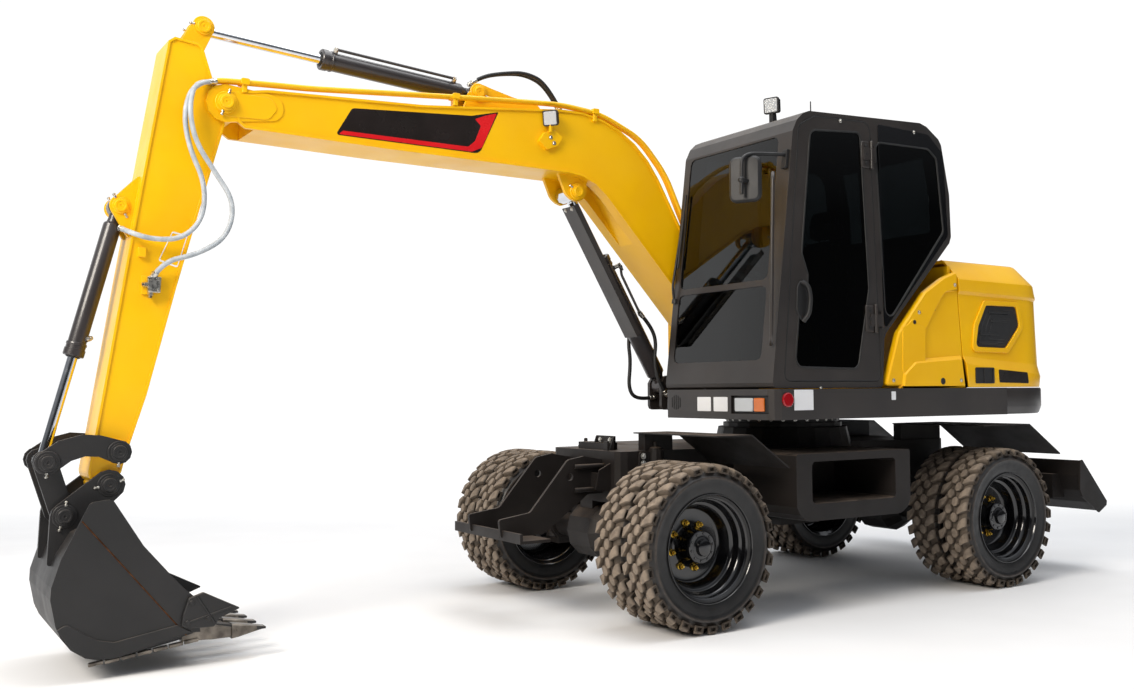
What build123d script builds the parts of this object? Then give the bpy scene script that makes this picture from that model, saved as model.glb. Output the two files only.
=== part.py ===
from build123d import *
import math
import os

os.makedirs("parts", exist_ok=True)

# Wheeled excavator, 8.5 t class. Millimetres, +Z up, +X towards the rear (the machine
# faces -X), +Y towards its right. The origin is on the ground, at the middle of the box.

# ---- driving dimensions -------------------------------------------------------------
FRONT_AXLE_X = -261.0
REAR_AXLE_X = 2441.0
TYRE_R = 487.0
TYRE_BASE_R = 463.0
TYRE_W = 236.0
TYRE_SIDES = 20
TREAD_HALF_W = 88.0
SIDEWALL_R = 390.0
LUG_COUNT = 12
TYRE_YS = (748.0, 1018.0)
RIM_R = 285.0
RIM_FLANGE_R = 311.0
KINGPIN_Y = 560.0
MACHINE_HALF_W = 1130.0
CHASSIS_Z = (690.0, 1015.0)
CHASSIS_X = (-384.0, 2680.0)
SLEW_X = 1365.0
SLEW_R = 430.0
PLATFORM_Z = (1212.0, 1400.0)
PLATFORM_FRONT_X = 237.0
PLATFORM_REAR_X = 3130.0
COUNTERWEIGHT_X = 2450.0
CAB_Y = (-1100.0, -50.0)
CAB_WALL = 45.0
HOOD_HALF_W = 1100.0
HOOD_WALL = 25.0
BOOM_Y = 140.0
BOOM_HALF_W = 160.0
BOOM_FLANGE = 10.0
ARM_HALF_W = 142.0
BUCKET_HALF_W = 375.0
RUN = 5.0
FLATS = 12
CORNER_SAG = 4.0

# ---- pins of the working arm and the blade, as (x, z) ---------------------------------
BOOM_FOOT = (890.0, 1600.0)
BOOM_CYL_FOOT = (360.0, 1430.0)
BOOM_CYL_EYE = (-405.0, 2712.0)
ARM_PIN = (-2730.0, 2980.0)
ARM_CYL_FOOT = (-1126.0, 3279.0)
ARM_CYL_EYE = (-2826.0, 3410.0)
BUCKET_CYL_FOOT = (-3249.0, 2386.0)
IDLER_PIN = (-3269.0, 1101.0)
LINK_PIN = (-3604.0, 1060.0)
BUCKET_PIN = (-3309.0, 934.0)
BUCKET_LINK_PIN = (-3519.0, 789.0)
BLADE_PIVOT = (2760.0, 640.0)
BLADE_CYL_FOOT = (2750.0, 930.0)
BLADE_CYL_EYE = (3230.0, 775.0)
TOW_PIN = (-628.0, 860.0)


# ---- shapes used by many pieces -------------------------------------------------------
def side(y):
    """The upright plane along the machine at one Y, seen from its left."""
    return Plane.XZ.offset(-y)


def eased(rows):
    """The points of a closed outline, each corner rounded by flats within CORNER_SAG of its arc."""
    points = []
    for i, (across, up, radius) in enumerate(rows):
        at = Vector(across, up)
        back = Vector(*rows[i - 1][:2]) - at
        ahead = Vector(*rows[(i + 1) % len(rows)][:2]) - at
        turn = math.pi - math.radians(back.get_angle(ahead))
        if radius == 0 or turn < 0.01:
            points.append((across, up))
            continue
        start = at + back.normalized() * radius * math.tan(turn / 2)
        middle = (back.normalized() + ahead.normalized()).normalized()
        centre = at + middle * radius / math.cos(turn / 2)
        way = 1 if back.cross(ahead).Z > 0 else -1
        steps = max(1, round(turn / (2 * math.acos(1 - min(CORNER_SAG / radius, 0.5)))))
        for k in range(steps + 1):
            spoke = (start - centre).rotate(Axis.Z, -way * math.degrees(turn) * k / steps)
            points.append((centre.X + spoke.X, centre.Y + spoke.Y))
    return points


def outline(rows):
    """Adds a closed outline to the sketch. Rows are (across, up, corner radius)."""
    with BuildLine() as edge:
        Polyline(*eased(rows), close=True)
    make_face(edge.edges())


def panel(rows, y_low, y_high, mode=Mode.ADD):
    """A slab between two Y planes. Rows are (x, z, corner radius)."""
    with BuildSketch(side(y_high)) as face:
        outline(rows)
    extrude(face.sketch, amount=y_high - y_low, mode=mode)


def deck(rows, z_low, z_high, mode=Mode.ADD):
    """A slab between two heights. Rows are (x, y, corner radius)."""
    with BuildSketch(Plane.XY.offset(z_low)) as face:
        outline(rows)
    extrude(face.sketch, amount=z_high - z_low, mode=mode)


def block(x, y, z, mode=Mode.ADD):
    """A box from three (low, high) pairs."""
    with Locations(((x[0] + x[1]) / 2, (y[0] + y[1]) / 2, (z[0] + z[1]) / 2)):
        Box(x[1] - x[0], y[1] - y[0], z[1] - z[0], mode=mode)


def section(radius, sides=0):
    """A round section, or one with flats where nothing turns on it."""
    if sides:
        RegularPolygon(radius, sides)
    else:
        Circle(radius)


def cross_bar(at, radius, y_low, y_high, mode=Mode.ADD, sides=0):
    """A round bar along Y through the point (x, z)."""
    with BuildSketch(side(y_high)) as face:
        with Locations(at):
            section(radius, sides)
    extrude(face.sketch, amount=y_high - y_low, mode=mode)


def bar(start, end, radius, mode=Mode.ADD, sides=0):
    """A round bar from one point to another."""
    run = Vector(*end) - Vector(*start)
    with BuildSketch(Plane(origin=start, z_dir=run)) as face:
        section(radius, sides)
    extrude(face.sketch, amount=run.length, mode=mode)


def strap(pins, y_low, y_high, mode=Mode.ADD, sides=FLATS):
    """A plate along Y that wraps round bosses, given as (x, z, radius) in order."""
    with BuildSketch(side(y_high)) as face:
        for x, z, radius in pins:
            with Locations((x, z)):
                section(radius, sides)
        make_hull()
    extrude(face.sketch, amount=y_high - y_low, mode=mode)


def both_sides(centre, near, far):
    """The two (low, high) Y ranges at equal distances left and right of a centre."""
    return ((centre - far, centre - near), (centre + near, centre + far))


def finish(piece, label):
    """Names a finished piece and writes it."""
    piece.part.label = label
    export_step(piece.part, f"parts/{label}.step")


def along(start, end, distance):
    """The point (x, z) at a distance from start towards end."""
    length = math.hypot(end[0] - start[0], end[1] - start[1])
    return tuple(a + (b - a) * distance / length for a, b in zip(start, end))


def at_y(point, y):
    """A pin's (x, z) as a point in space."""
    return (point[0], y, point[1])


# ---- chassis --------------------------------------------------------------------------
with BuildPart() as chassis_frame:
    waist = [(x, y, 60) for x, y in ((CHASSIS_X[0], -400), (500, -400), (900, -330), (1830, -330),
                                     (2150, -400), (CHASSIS_X[1], -400), (CHASSIS_X[1], 400),
                                     (2150, 400), (1830, 330), (900, 330), (500, 400),
                                     (CHASSIS_X[0], 400))]
    deck(waist, *CHASSIS_Z)
    with BuildSketch(Plane.XY.offset(880)):
        with Locations((SLEW_X, 0)):
            RegularPolygon(520, 2 * FLATS)
    extrude(amount=250, taper=12)
    # Risers that hold the fender decks above the frame. The front one stands on the cab's side only.
    block((-180, 40), (-390, -320), (1000, 1123))
    for y in both_sides(0, 320, 390):
        block((2200, 2640), y, (1000, 1132))
    # Round posts at the front corners of the frame.
    for y in (-400, 400):
        bar((-106, y, CHASSIS_Z[0]), (-106, y, CHASSIS_Z[1] + 5), 54, sides=FLATS)
    # Bolted box on the front of the frame, and the upright tab beside the bracket.
    block((-330, -225), (-150, 150), (1015, 1060))
    block((-360, -345), (-230, -190), (1015, 1075))
    # Arms that carry the step boxes.
    for x in (640, 1240):
        for y in both_sides(0, 300, 520):
            block((x, x + 80), y, (800, 950))
    # Lugs at the rear for the blade arms and the blade cylinders.
    for centre in (-300, 300):
        for y in both_sides(centre, 45, 65):
            panel([(2640, 690, 0), (2640, 760, 0), (2810, 700, 0), (2830, 640, 30), (2780, 575, 30),
                   (2640, 560, 0), (2600, 700, 0)], *y)
        cross_bar(BLADE_PIVOT, 26, centre - 65, centre + 65)
    for centre in (-150, 150):
        for y in both_sides(centre, 36, 56):
            panel([(2640, 800, 0), (2640, 1000, 0), (2800, 985, 40), (2805, 880, 40)], *y)
        cross_bar(BLADE_CYL_FOOT, 20, centre - 40, centre + 40)
finish(chassis_frame, "chassis_frame")

with BuildPart() as slew_ring:
    with BuildSketch(Plane.XY.offset(1130)):
        with Locations((SLEW_X, 0)):
            RegularPolygon(SLEW_R, 2 * FLATS)
    extrude(amount=32)
    with BuildSketch(Plane.XY.offset(1162)):
        with Locations((SLEW_X, 0)):
            Circle(SLEW_R - 25)
    extrude(amount=45)
finish(slew_ring, "slew_ring")

with BuildPart() as fenders:
    # In front, only the cab's side has a deck, for the step up to the door.
    panel([(-220, 1123, 0), (-220, 1131, 0), (60, 1131, 0), (57, 1123, 0)], -MACHINE_HALF_W, -320)
    panel([(57, 1123, 0), (60, 1131, 0), (353, 929, 0), (348, 921, 0)], -MACHINE_HALF_W, -405)
    for y in both_sides(0, 320, MACHINE_HALF_W):
        panel([(2188, 1132, 0), (2188, 1140, 0), (2699, 1140, 0), (3054, 918, 0), (3049, 910, 0),
               (2697, 1132, 0)], *y)
finish(fenders, "fenders")

with BuildPart() as front_bracket:
    cranked = [(-384, 746, 0), (-384, 960, 0), (-520, 985, 20), (-640, 966, 30), (-916, 655, 25),
               (-1135, 625, 10), (-1125, 518, 10), (-823, 518, 40), (-492, 746, 20)]
    for y in ((-204, -184), (184, 204)):
        panel(cranked, *y)
        cross_bar(TOW_PIN, 24, *y, mode=Mode.SUBTRACT)
    # Step plate across the outer ends.
    block((-1115, -905), (-420, 420), (500, 518))
    block((-1115, -1097), (-420, 420), (518, 560))
    for y in ((-300, -288), (288, 300)):
        panel([(-384, 760, 0), (-384, 940, 0), (-470, 900, 0), (-500, 780, 0)], *y)
    block((-470, -455), (-300, -184), (790, 880))
    block((-470, -455), (184, 300), (790, 880))
finish(front_bracket, "front_bracket")

AXLE_Z = TYRE_R


DIFFERENTIAL = ((-230, 110), (-120, 185), (120, 185), (230, 110))


def turned(rings, sides, mode=Mode.ADD):
    """A closed body of flat faces round the X axis. Rings are (along, radius), ends closed."""
    loops = []
    for x, radius in rings:
        spokes = [2 * math.pi * k / sides for k in range(sides)]
        loops.append([Vector(x, radius * math.cos(a), radius * math.sin(a)) for a in spokes])
    faces = [Face(Wire.make_polygon(loop)) for loop in (loops[0], loops[-1])]
    for near, far in zip(loops, loops[1:]):
        for k in range(sides):
            corners = [near[k - 1], near[k], far[k], far[k - 1]]
            faces.append(Face(Wire.make_polygon(corners)))
    add(Solid(Shell(faces)), mode=mode)


def axle_housing(x, reach):
    """Axle beam with its round differential and a flange at each end."""
    bar((x, -reach, AXLE_Z), (x, reach, AXLE_Z), 78)
    with Locations(Location((x, 0, AXLE_Z), (0, 0, 90))):
        turned(DIFFERENTIAL, FLATS)
    for y in both_sides(0, 430, 470):
        bar((x, y[0], AXLE_Z), (x, y[1], AXLE_Z), 105, sides=FLATS)
    towards_middle = 1 if x < SLEW_X else -1
    bar((x, 0, AXLE_Z), (x + 215 * towards_middle, 0, AXLE_Z), 62, sides=FLATS)


with BuildPart() as front_axle:
    axle_housing(FRONT_AXLE_X, 480)
    # Forked ends round the knuckles.
    for sign in (-1, 1):
        y = sorted((sign * 470, sign * (KINGPIN_Y + 40)))
        for z in ((AXLE_Z - 135, AXLE_Z - 103), (AXLE_Z + 103, AXLE_Z + 135)):
            block((FRONT_AXLE_X - 50, FRONT_AXLE_X + 50), y, z)
        block((FRONT_AXLE_X - 50, FRONT_AXLE_X + 50), sorted((sign * 440, sign * 480)),
              (AXLE_Z - 135, AXLE_Z + 135))
    # Pivot block up to the frame, on which the axle rocks.
    block((FRONT_AXLE_X - 110, FRONT_AXLE_X + 110), (-70, 70), (AXLE_Z + 150, CHASSIS_Z[0]))
    # Locking cylinders beside the pivot.
    for y in (-280, 280):
        bar((FRONT_AXLE_X, y, AXLE_Z + 60), (FRONT_AXLE_X, y, CHASSIS_Z[0]), 42, sides=FLATS)
finish(front_axle, "front_axle")

with BuildPart() as rear_axle:
    axle_housing(REAR_AXLE_X, 636)
    for sign in (-1, 1):
        y = sorted((sign * 250, sign * 390))
        block((REAR_AXLE_X - 90, REAR_AXLE_X + 90), y, (AXLE_Z + 40, CHASSIS_Z[0]))
finish(rear_axle, "rear_axle")

with BuildPart() as driveline:
    block((1180, 1560), (-170, 170), (430, CHASSIS_Z[0]))
    bar((FRONT_AXLE_X + 215, 0, AXLE_Z), (1180, 0, AXLE_Z), 36, sides=FLATS)
    bar((1560, 0, AXLE_Z), (REAR_AXLE_X - 215, 0, AXLE_Z), 36, sides=FLATS)
finish(driveline, "driveline")

STEP_X = (440.0, 1460.0)
STEP_Z = (585.0, 1000.0)


def step_box(sign):
    """Open-fronted step and tool box at one side of the frame."""
    y = sorted((sign * 520, sign * 1100))
    outer = [(STEP_X[0], STEP_Z[1], 10), (STEP_X[0], STEP_Z[0] + 60, 60), (STEP_X[0] + 90, STEP_Z[0], 60),
             (STEP_X[1] - 90, STEP_Z[0], 60), (STEP_X[1], STEP_Z[0] + 60, 60), (STEP_X[1], STEP_Z[1], 10)]
    panel(outer, *y)
    mouth = [(570, 950, 20), (570, 690, 30), (1320, 690, 30), (1320, 950, 20)]
    panel(mouth, *sorted((sign * 560, sign * 1100)), mode=Mode.SUBTRACT)


for name, sign in (("step_box_left", -1), ("step_box_right", 1)):
    with BuildPart() as box_piece:
        step_box(sign)
    finish(box_piece, name)

# ---- knuckles, wheels and track rod -----------------------------------------------------
for name, sign in (("knuckle_left", -1), ("knuckle_right", 1)):
    with BuildPart() as knuckle:
        at = (FRONT_AXLE_X, sign * KINGPIN_Y)
        bar((*at, AXLE_Z - 98), (*at, AXLE_Z + 98), 62)
        bar((*at, AXLE_Z), (FRONT_AXLE_X, sign * 636, AXLE_Z), 90)
        # Steering arm behind the axle.
        block((FRONT_AXLE_X + 40, FRONT_AXLE_X + 240), sorted((sign * 530, sign * 570)),
              (AXLE_Z - 90, AXLE_Z - 50))
    finish(knuckle, name)

with BuildPart() as track_rod:
    rod_x = FRONT_AXLE_X + 215
    bar((rod_x, -KINGPIN_Y, AXLE_Z - 115), (rod_x, KINGPIN_Y, AXLE_Z - 115), 20, sides=FLATS)
finish(track_rod, "track_rod")

def tread_outline(shift):
    """The toothed edge of half a tread, as (across, up). Each lug has two feet and two tips."""
    rows = []
    for i in range(LUG_COUNT):
        for angle, radius in ((-7.5, TYRE_BASE_R), (-5.6, TYRE_R), (5.6, TYRE_R), (7.5, TYRE_BASE_R)):
            turn = math.radians(360 / LUG_COUNT * (i + shift) + angle)
            rows.append((radius * math.cos(turn), radius * math.sin(turn)))
    return rows


def drum(x_low, x_high, radius, sides=TYRE_SIDES, mode=Mode.ADD):
    """A many-sided drum on the axle, between two distances along it."""
    with BuildSketch(Plane.YZ.offset(x_low)) as face:
        RegularPolygon(radius, sides)
    extrude(face.sketch, amount=x_high - x_low, mode=mode)


with BuildPart() as tyre_form:
    turned(((-TYRE_W / 2, SIDEWALL_R), (-TREAD_HALF_W, TYRE_BASE_R - 14), (TREAD_HALF_W, TYRE_BASE_R - 14),
            (TYRE_W / 2, SIDEWALL_R)), TYRE_SIDES)
    # The lugs of one half stand half a pitch from those of the other.
    for x_low, shift in ((-TREAD_HALF_W, 0.0), (0.0, 0.5)):
        with BuildSketch(Plane.YZ.offset(x_low)):
            with BuildLine():
                Polyline(*tread_outline(shift), close=True)
            make_face()
        extrude(amount=TREAD_HALF_W)
    # Each side wall slopes in to the bead.
    for sign in (-1, 1):
        turned(((sign * TYRE_W / 2, SIDEWALL_R), (sign * TREAD_HALF_W, RIM_R)), TYRE_SIDES,
               mode=Mode.SUBTRACT)
    drum(-TYRE_W, TYRE_W, RIM_R, mode=Mode.SUBTRACT)

# Twin rims, disc and hub, as (from, to, radius, sides) along the axle from the machine's middle.
WHEEL_DRUMS = ((640, 1126, RIM_R, TYRE_SIDES), (640, 652, RIM_FLANGE_R, TYRE_SIDES),
               (1114, 1126, RIM_FLANGE_R, TYRE_SIDES))
WHEEL_HOLLOWS = ((640, 875, 265, TYRE_SIDES), (925, 1126, 265, TYRE_SIDES))
HUB_DRUMS = ((640, 875, 150, FLATS), (925, 1045, 95, FLATS), (1045, 1072, 50, FLATS))
with BuildPart() as wheel:
    for x_low, x_high, radius, sides in WHEEL_DRUMS:
        drum(x_low, x_high, radius, sides)
    for x_low, x_high, radius, sides in WHEEL_HOLLOWS:
        drum(x_low, x_high, radius, sides, mode=Mode.SUBTRACT)
    for x_low, x_high, radius, sides in HUB_DRUMS:
        drum(x_low, x_high, radius, sides)

for corner, x in (("front", FRONT_AXLE_X), ("rear", REAR_AXLE_X)):
    for hand, sign in (("left", -1), ("right", 1)):
        with BuildPart() as tyres:
            for y in TYRE_YS:
                with Locations(Location((x, sign * y, AXLE_Z), (0, 0, 90 * sign))):
                    add(tyre_form.part)
        finish(tyres, f"tyres_{corner}_{hand}")
        with BuildPart() as wheel_placed:
            with Locations(Location((x, 0, AXLE_Z), (0, 0, 90 * sign))):
                add(wheel.part)
        finish(wheel_placed, f"rims_{corner}_{hand}")

# ---- blade --------------------------------------------------------------------------------
MOLDBOARD = ((3345, 850), (3362, 730), (3412, 620), (3490, 528), (3590, 460), (3640, 500), (3533, 549),
             (3447, 630), (3392, 734), (3372, 850))
with BuildPart() as blade:
    with BuildSketch(side(1100)):
        with BuildLine():
            Polyline(*MOLDBOARD, close=True)
        make_face()
    extrude(amount=2200)
    for y in ((-1100, -1088), (1088, 1100)):
        panel([(3345, 850, 0), (3372, 855, 0), (3690, 512, 20), (3570, 450, 0), (3330, 600, 60)], *y)
    # Box beam along the back, and the two arms.
    panel([(3290, 560, 0), (3290, 740, 0), (3380, 740, 0), (3405, 640, 0), (3440, 560, 0)], -900, 900)
    for centre in (-300, 300):
        panel([(2790, 590, 30), (2710, 600, 30), (2710, 690, 30), (2800, 700, 0), (3300, 700, 0),
               (3300, 600, 0)], centre - 40, centre + 40)
        cross_bar(BLADE_PIVOT, 27, centre - 40, centre + 40, mode=Mode.SUBTRACT)
    for centre in (-150, 150):
        for y in both_sides(centre, 32, 50):
            panel([(3290, 600, 0), (3190, 740, 30), (3185, 820, 40), (3275, 820, 40), (3330, 700, 0)], *y)
finish(blade, "blade")

with BuildPart() as blade_cylinder_barrels:
    for y in (-150, 150):
        foot_to = [at_y(along(BLADE_CYL_FOOT, BLADE_CYL_EYE, d), y) for d in (0, 85, 100, 400, 401)]
        bar(foot_to[0], foot_to[2], 26, sides=FLATS)
        bar(foot_to[1], foot_to[3], 44, sides=FLATS)
        cross_bar(BLADE_CYL_FOOT, 42, y - 30, y + 30, sides=FLATS)
        bar(foot_to[2], foot_to[4], 24, mode=Mode.SUBTRACT, sides=FLATS)
        cross_bar(BLADE_CYL_FOOT, 21, y - 60, y + 60, mode=Mode.SUBTRACT)
finish(blade_cylinder_barrels, "blade_cylinder_barrels")

with BuildPart() as blade_cylinder_rods:
    for y in (-150, 150):
        bar(at_y(along(BLADE_CYL_FOOT, BLADE_CYL_EYE, 184), y),
            at_y(along(BLADE_CYL_FOOT, BLADE_CYL_EYE, 485), y), 22, sides=FLATS)
        cross_bar(BLADE_CYL_EYE, 40, y - 26, y + 26, sides=FLATS)
        cross_bar(BLADE_CYL_EYE, 21, y - 26, y + 26, mode=Mode.SUBTRACT)
finish(blade_cylinder_rods, "blade_cylinder_rods")

# ---- upper structure ------------------------------------------------------------------------
BAY_Y = (-45.0, 330.0)
BAY_TOP = 1335.0
BAY_REAR_X = 1150.0
# The platform's nose slants back across the boom's foot, and the right deck starts far behind it.
NOSE_LEFT_Y = -90.0
NOSE_RIGHT = (670.0, 470.0)
RIGHT_DECK_X = 1170.0
REAR_CORNER_R = 420.0
with BuildPart() as platform:
    deck([(PLATFORM_FRONT_X, 60 - MACHINE_HALF_W, 0), (PLATFORM_FRONT_X, NOSE_LEFT_Y, 12),
          (*NOSE_RIGHT, 60), (RIGHT_DECK_X, NOSE_RIGHT[1], 0), (RIGHT_DECK_X, MACHINE_HALF_W, 30),
          (COUNTERWEIGHT_X, MACHINE_HALF_W, 0), (COUNTERWEIGHT_X, -MACHINE_HALF_W, 0),
          (PLATFORM_FRONT_X + 60, -MACHINE_HALF_W, 0), (PLATFORM_FRONT_X + 18, 18 - MACHINE_HALF_W, 0)],
         *PLATFORM_Z)
    block((PLATFORM_FRONT_X, BAY_REAR_X), BAY_Y, (BAY_TOP, PLATFORM_Z[1]), mode=Mode.SUBTRACT)
    # Lamp recess in the cab-side front face.
    block((PLATFORM_FRONT_X, PLATFORM_FRONT_X + 30), (-1076, -738), (1248, 1361), mode=Mode.SUBTRACT)
    # Towers for the boom foot and the cylinder foot.
    for y in both_sides(BOOM_Y, BOOM_HALF_W + BOOM_FLANGE + RUN, BOOM_HALF_W + BOOM_FLANGE + 20):
        panel([(560, BAY_TOP, 0), (780, 1660, 60), (890, 1720, 100), (1000, 1640, 80), (1130, BAY_TOP, 0)],
              max(y[0], BAY_Y[0]), min(y[1], BAY_Y[1] + 5))
    for y in both_sides(BOOM_Y, 55, 80):
        panel([(300, 1262, 30), (300, 1480, 50), (370, 1510, 60), (440, 1480, 60), (620, BAY_TOP, 0),
               (620, 1262, 0)], *y)
    cross_bar(BOOM_CYL_FOOT, 28, BOOM_Y - 80, BOOM_Y + 80)
    cross_bar(BOOM_FOOT, 40, BAY_Y[0], BAY_Y[1] + 5)
finish(platform, "platform")

with BuildPart() as counterweight:
    deck([(COUNTERWEIGHT_X, -MACHINE_HALF_W, 0), (PLATFORM_REAR_X, -MACHINE_HALF_W, REAR_CORNER_R),
          (PLATFORM_REAR_X, MACHINE_HALF_W, REAR_CORNER_R), (COUNTERWEIGHT_X, MACHINE_HALF_W, 0)],
         *PLATFORM_Z)
    panel([(2910, 1212, 0), (3130, 1212, 0), (3130, 1300, 0)], -MACHINE_HALF_W, MACHINE_HALF_W,
          mode=Mode.SUBTRACT)
finish(counterweight, "counterweight")

with BuildPart() as engine:
    block((2150, 2850), (-300, 500), (1400, 2050))
finish(engine, "engine")

# Outline of the cab seen from the left, as (x, z, corner radius).
CAB_OUTLINE = [(250, 1405, 30), (455, 3040, 120), (560, 3136, 90), (1659, 3190, 120), (1831, 3085, 60),
               (1910, 2726, 60), (1921, 2410, 60), (1240, 1745, 60), (1217, 1405, 20)]
DOOR_OUTLINE = [(352, 1450, 40), (500, 3040, 70), (640, 3110, 70), (1130, 3130, 60), (1200, 1450, 40)]
DOOR_WINDOW = [(600, 3020, 60), (1045, 3055, 40), (1105, 2040, 30), (994, 1525, 60), (440, 1534, 60),
               (478, 1850, 20), (545, 1880, 20), (560, 2110, 20), (510, 2240, 20)]
REAR_SIDE_WINDOW = [(1185, 3009, 50), (1697, 3021, 60), (1784, 2961, 50), (1842, 2464, 50),
                    (1255, 1800, 50)]
RIGHT_FRONT_WINDOW = [(600, 3010, 60), (1090, 3030, 40), (1150, 1800, 40), (460, 1780, 60)]
CAB_FRONT = Plane(origin=(250, 0, 1405), x_dir=(0, -1, 0), z_dir=(-1635, 0, 205))
# Front windows, as (right edge, left edge, low, high) up the leaning face.
FRONT_WINDOWS = ((110, 980, 175, 640), (110, 980, 680, 1590))
REAR_WINDOW = ((-960, -190), (2480, 3000))



def hinge_x(z):
    """Where the door's leaning hinge axis stands at a height."""
    return 1190 - (z - 2300) * 0.04164


def window(near, far, low, high):
    """A front window with eased corners on the leaning face."""
    outline([(near, low, 40), (far, low, 40), (far, high, 40), (near, high, 40)])


with BuildPart() as cab:
    panel(CAB_OUTLINE, *CAB_Y)
    with BuildSketch(side(CAB_Y[1] - CAB_WALL)):
        outline(CAB_OUTLINE)
        offset(amount=-CAB_WALL, kind=Kind.INTERSECTION, mode=Mode.REPLACE)
    extrude(amount=CAB_Y[1] - CAB_Y[0] - 2 * CAB_WALL, mode=Mode.SUBTRACT)
    with BuildSketch(side(CAB_Y[0] + CAB_WALL)):
        outline(DOOR_OUTLINE)
        offset(amount=6, kind=Kind.INTERSECTION, mode=Mode.REPLACE)
    extrude(amount=CAB_WALL, mode=Mode.SUBTRACT)
    panel(REAR_SIDE_WINDOW, CAB_Y[0], CAB_Y[0] + CAB_WALL, mode=Mode.SUBTRACT)
    panel(REAR_SIDE_WINDOW, CAB_Y[1] - CAB_WALL, CAB_Y[1], mode=Mode.SUBTRACT)
    panel(RIGHT_FRONT_WINDOW, CAB_Y[1] - CAB_WALL, CAB_Y[1], mode=Mode.SUBTRACT)
    for near, far, low, high in FRONT_WINDOWS:
        with BuildSketch(CAB_FRONT):
            window(near, far, low, high)
        extrude(amount=-CAB_WALL - 10, mode=Mode.SUBTRACT)
    block((1780, 1960), REAR_WINDOW[0], REAR_WINDOW[1], mode=Mode.SUBTRACT)
finish(cab, "cab")

GLASS = 6.0
HINGE_Y = -1112.0
with BuildPart() as cab_glass:
    for y in ((CAB_Y[0] + 4, CAB_Y[0] + 4 + GLASS), (CAB_Y[1] - 4 - GLASS, CAB_Y[1] - 4)):
        panel(REAR_SIDE_WINDOW, *y)
    panel(RIGHT_FRONT_WINDOW, CAB_Y[1] - 4 - GLASS, CAB_Y[1] - 4)
    for near, far, low, high in FRONT_WINDOWS:
        with BuildSketch(CAB_FRONT.offset(-6)):
            window(near, far, low, high)
        extrude(amount=-GLASS)
    panel([(1886, 2480, 0), (1880, 2480, 0), (1830, 3000, 0), (1836, 3000, 0)], *REAR_WINDOW[0])
finish(cab_glass, "cab_glass")

with BuildPart() as door:
    panel(DOOR_OUTLINE, CAB_Y[0], CAB_Y[0] + CAB_WALL - 5)
    panel(DOOR_WINDOW, CAB_Y[0], CAB_Y[0] + CAB_WALL, mode=Mode.SUBTRACT)
    # Hinge barrels on the axis of the swing, and the leaves that carry them.
    for z in (1790, 2870):
        bar((hinge_x(z), HINGE_Y, z), (hinge_x(z + 110), HINGE_Y, z + 110), 8)
        block((hinge_x(z) - 110, hinge_x(z)), (HINGE_Y - 5, HINGE_Y + 5), (z + 10, z + 90))
        block((hinge_x(z) - 110, hinge_x(z) - 60), (HINGE_Y, CAB_Y[0] + 5), (z + 10, z + 90))
finish(door, "door")

with BuildPart() as door_glass:
    panel(DOOR_WINDOW, CAB_Y[0] + 4, CAB_Y[0] + 4 + GLASS)
finish(door_glass, "door_glass")

SEAT_Y = -575.0
with BuildPart() as seat:
    block((720, 1100), (SEAT_Y - 160, SEAT_Y + 160), (1450, 1700))
    panel([(670, 1700, 30), (660, 1850, 60), (1140, 1800, 60), (1140, 1700, 20)], SEAT_Y - 245, SEAT_Y + 245)
    panel([(1060, 1790, 40), (1190, 2420, 45), (1300, 2400, 45), (1180, 1770, 40)], SEAT_Y - 230,
          SEAT_Y + 230)
    panel([(1205, 2440, 30), (1240, 2640, 30), (1320, 2620, 30), (1285, 2420, 30)], SEAT_Y - 130,
          SEAT_Y + 130)
    panel([(1215, 2380, 0), (1245, 2480, 0), (1270, 2480, 0), (1245, 2380, 0)], SEAT_Y - 60, SEAT_Y + 60)
finish(seat, "seat")

with BuildPart() as console:
    panel([(520, 1450, 20), (560, 1560, 30), (560, 2060, 20), (610, 2050, 20), (640, 1560, 40),
           (700, 1450, 20)], SEAT_Y - 90, SEAT_Y + 90)
    wheel_plane = Plane(origin=(600, SEAT_Y, 2120), z_dir=(0.4, 0, 1))
    bar((585, SEAT_Y, 2040), (606, SEAT_Y, 2130), 28, sides=FLATS)
    with BuildSketch(wheel_plane):
        RegularPolygon(180, 2 * FLATS)
        RegularPolygon(155, 2 * FLATS, mode=Mode.SUBTRACT)
        Rectangle(340, 40)
    extrude(amount=26)
    for y in both_sides(SEAT_Y, 255, 345):
        panel([(800, 1450, 20), (820, 1980, 60), (1130, 1950, 60), (1130, 1450, 20)], *y)
finish(console, "console")

def cab_front_x(z):
    """Where the leaning front face of the cab stands at a height."""
    return 250 + (z - 1405) * 205 / 1635


def roof_z(x):
    """Height of the cab roof at a place along it."""
    return 3136 + (x - 560) * 54 / 1099


MIRROR_Y = -1065.0
with BuildPart() as mirror:
    # Clamp on the front pillar, an arm in two reaches, a stalk and the head.
    panel([(cab_front_x(2760), 2760, 0), (cab_front_x(2880), 2880, 0), (cab_front_x(2880) - 24, 2880, 0),
           (cab_front_x(2760) - 24, 2760, 0)], MIRROR_Y - 22, MIRROR_Y + 22)
    bar((cab_front_x(2850) - 10, MIRROR_Y, 2850), (130, MIRROR_Y, 2822), 13, sides=FLATS)
    bar((136, MIRROR_Y, 2830), (60, MIRROR_Y, 2785), 13, sides=FLATS)
    bar((62, MIRROR_Y, 2792), (57, MIRROR_Y, 2570), 11, sides=FLATS)
    bar((50, MIRROR_Y, 2657), (125, MIRROR_Y + 10, 2657), 18, sides=FLATS)
    with Locations(Location((114, MIRROR_Y + 30, 2670), (0, 0, 30))):
        Box(36, 200, 280)
finish(mirror, "mirror")
with BuildPart() as roof_lamp:
    panel([(730, roof_z(730), 0), (730, 3240, 0), (790, 3240, 0), (790, roof_z(790), 0)], -640, -560)
    block((700, 780), (-660, -540), (3240, 3350))
finish(roof_lamp, "roof_lamp")

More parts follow.
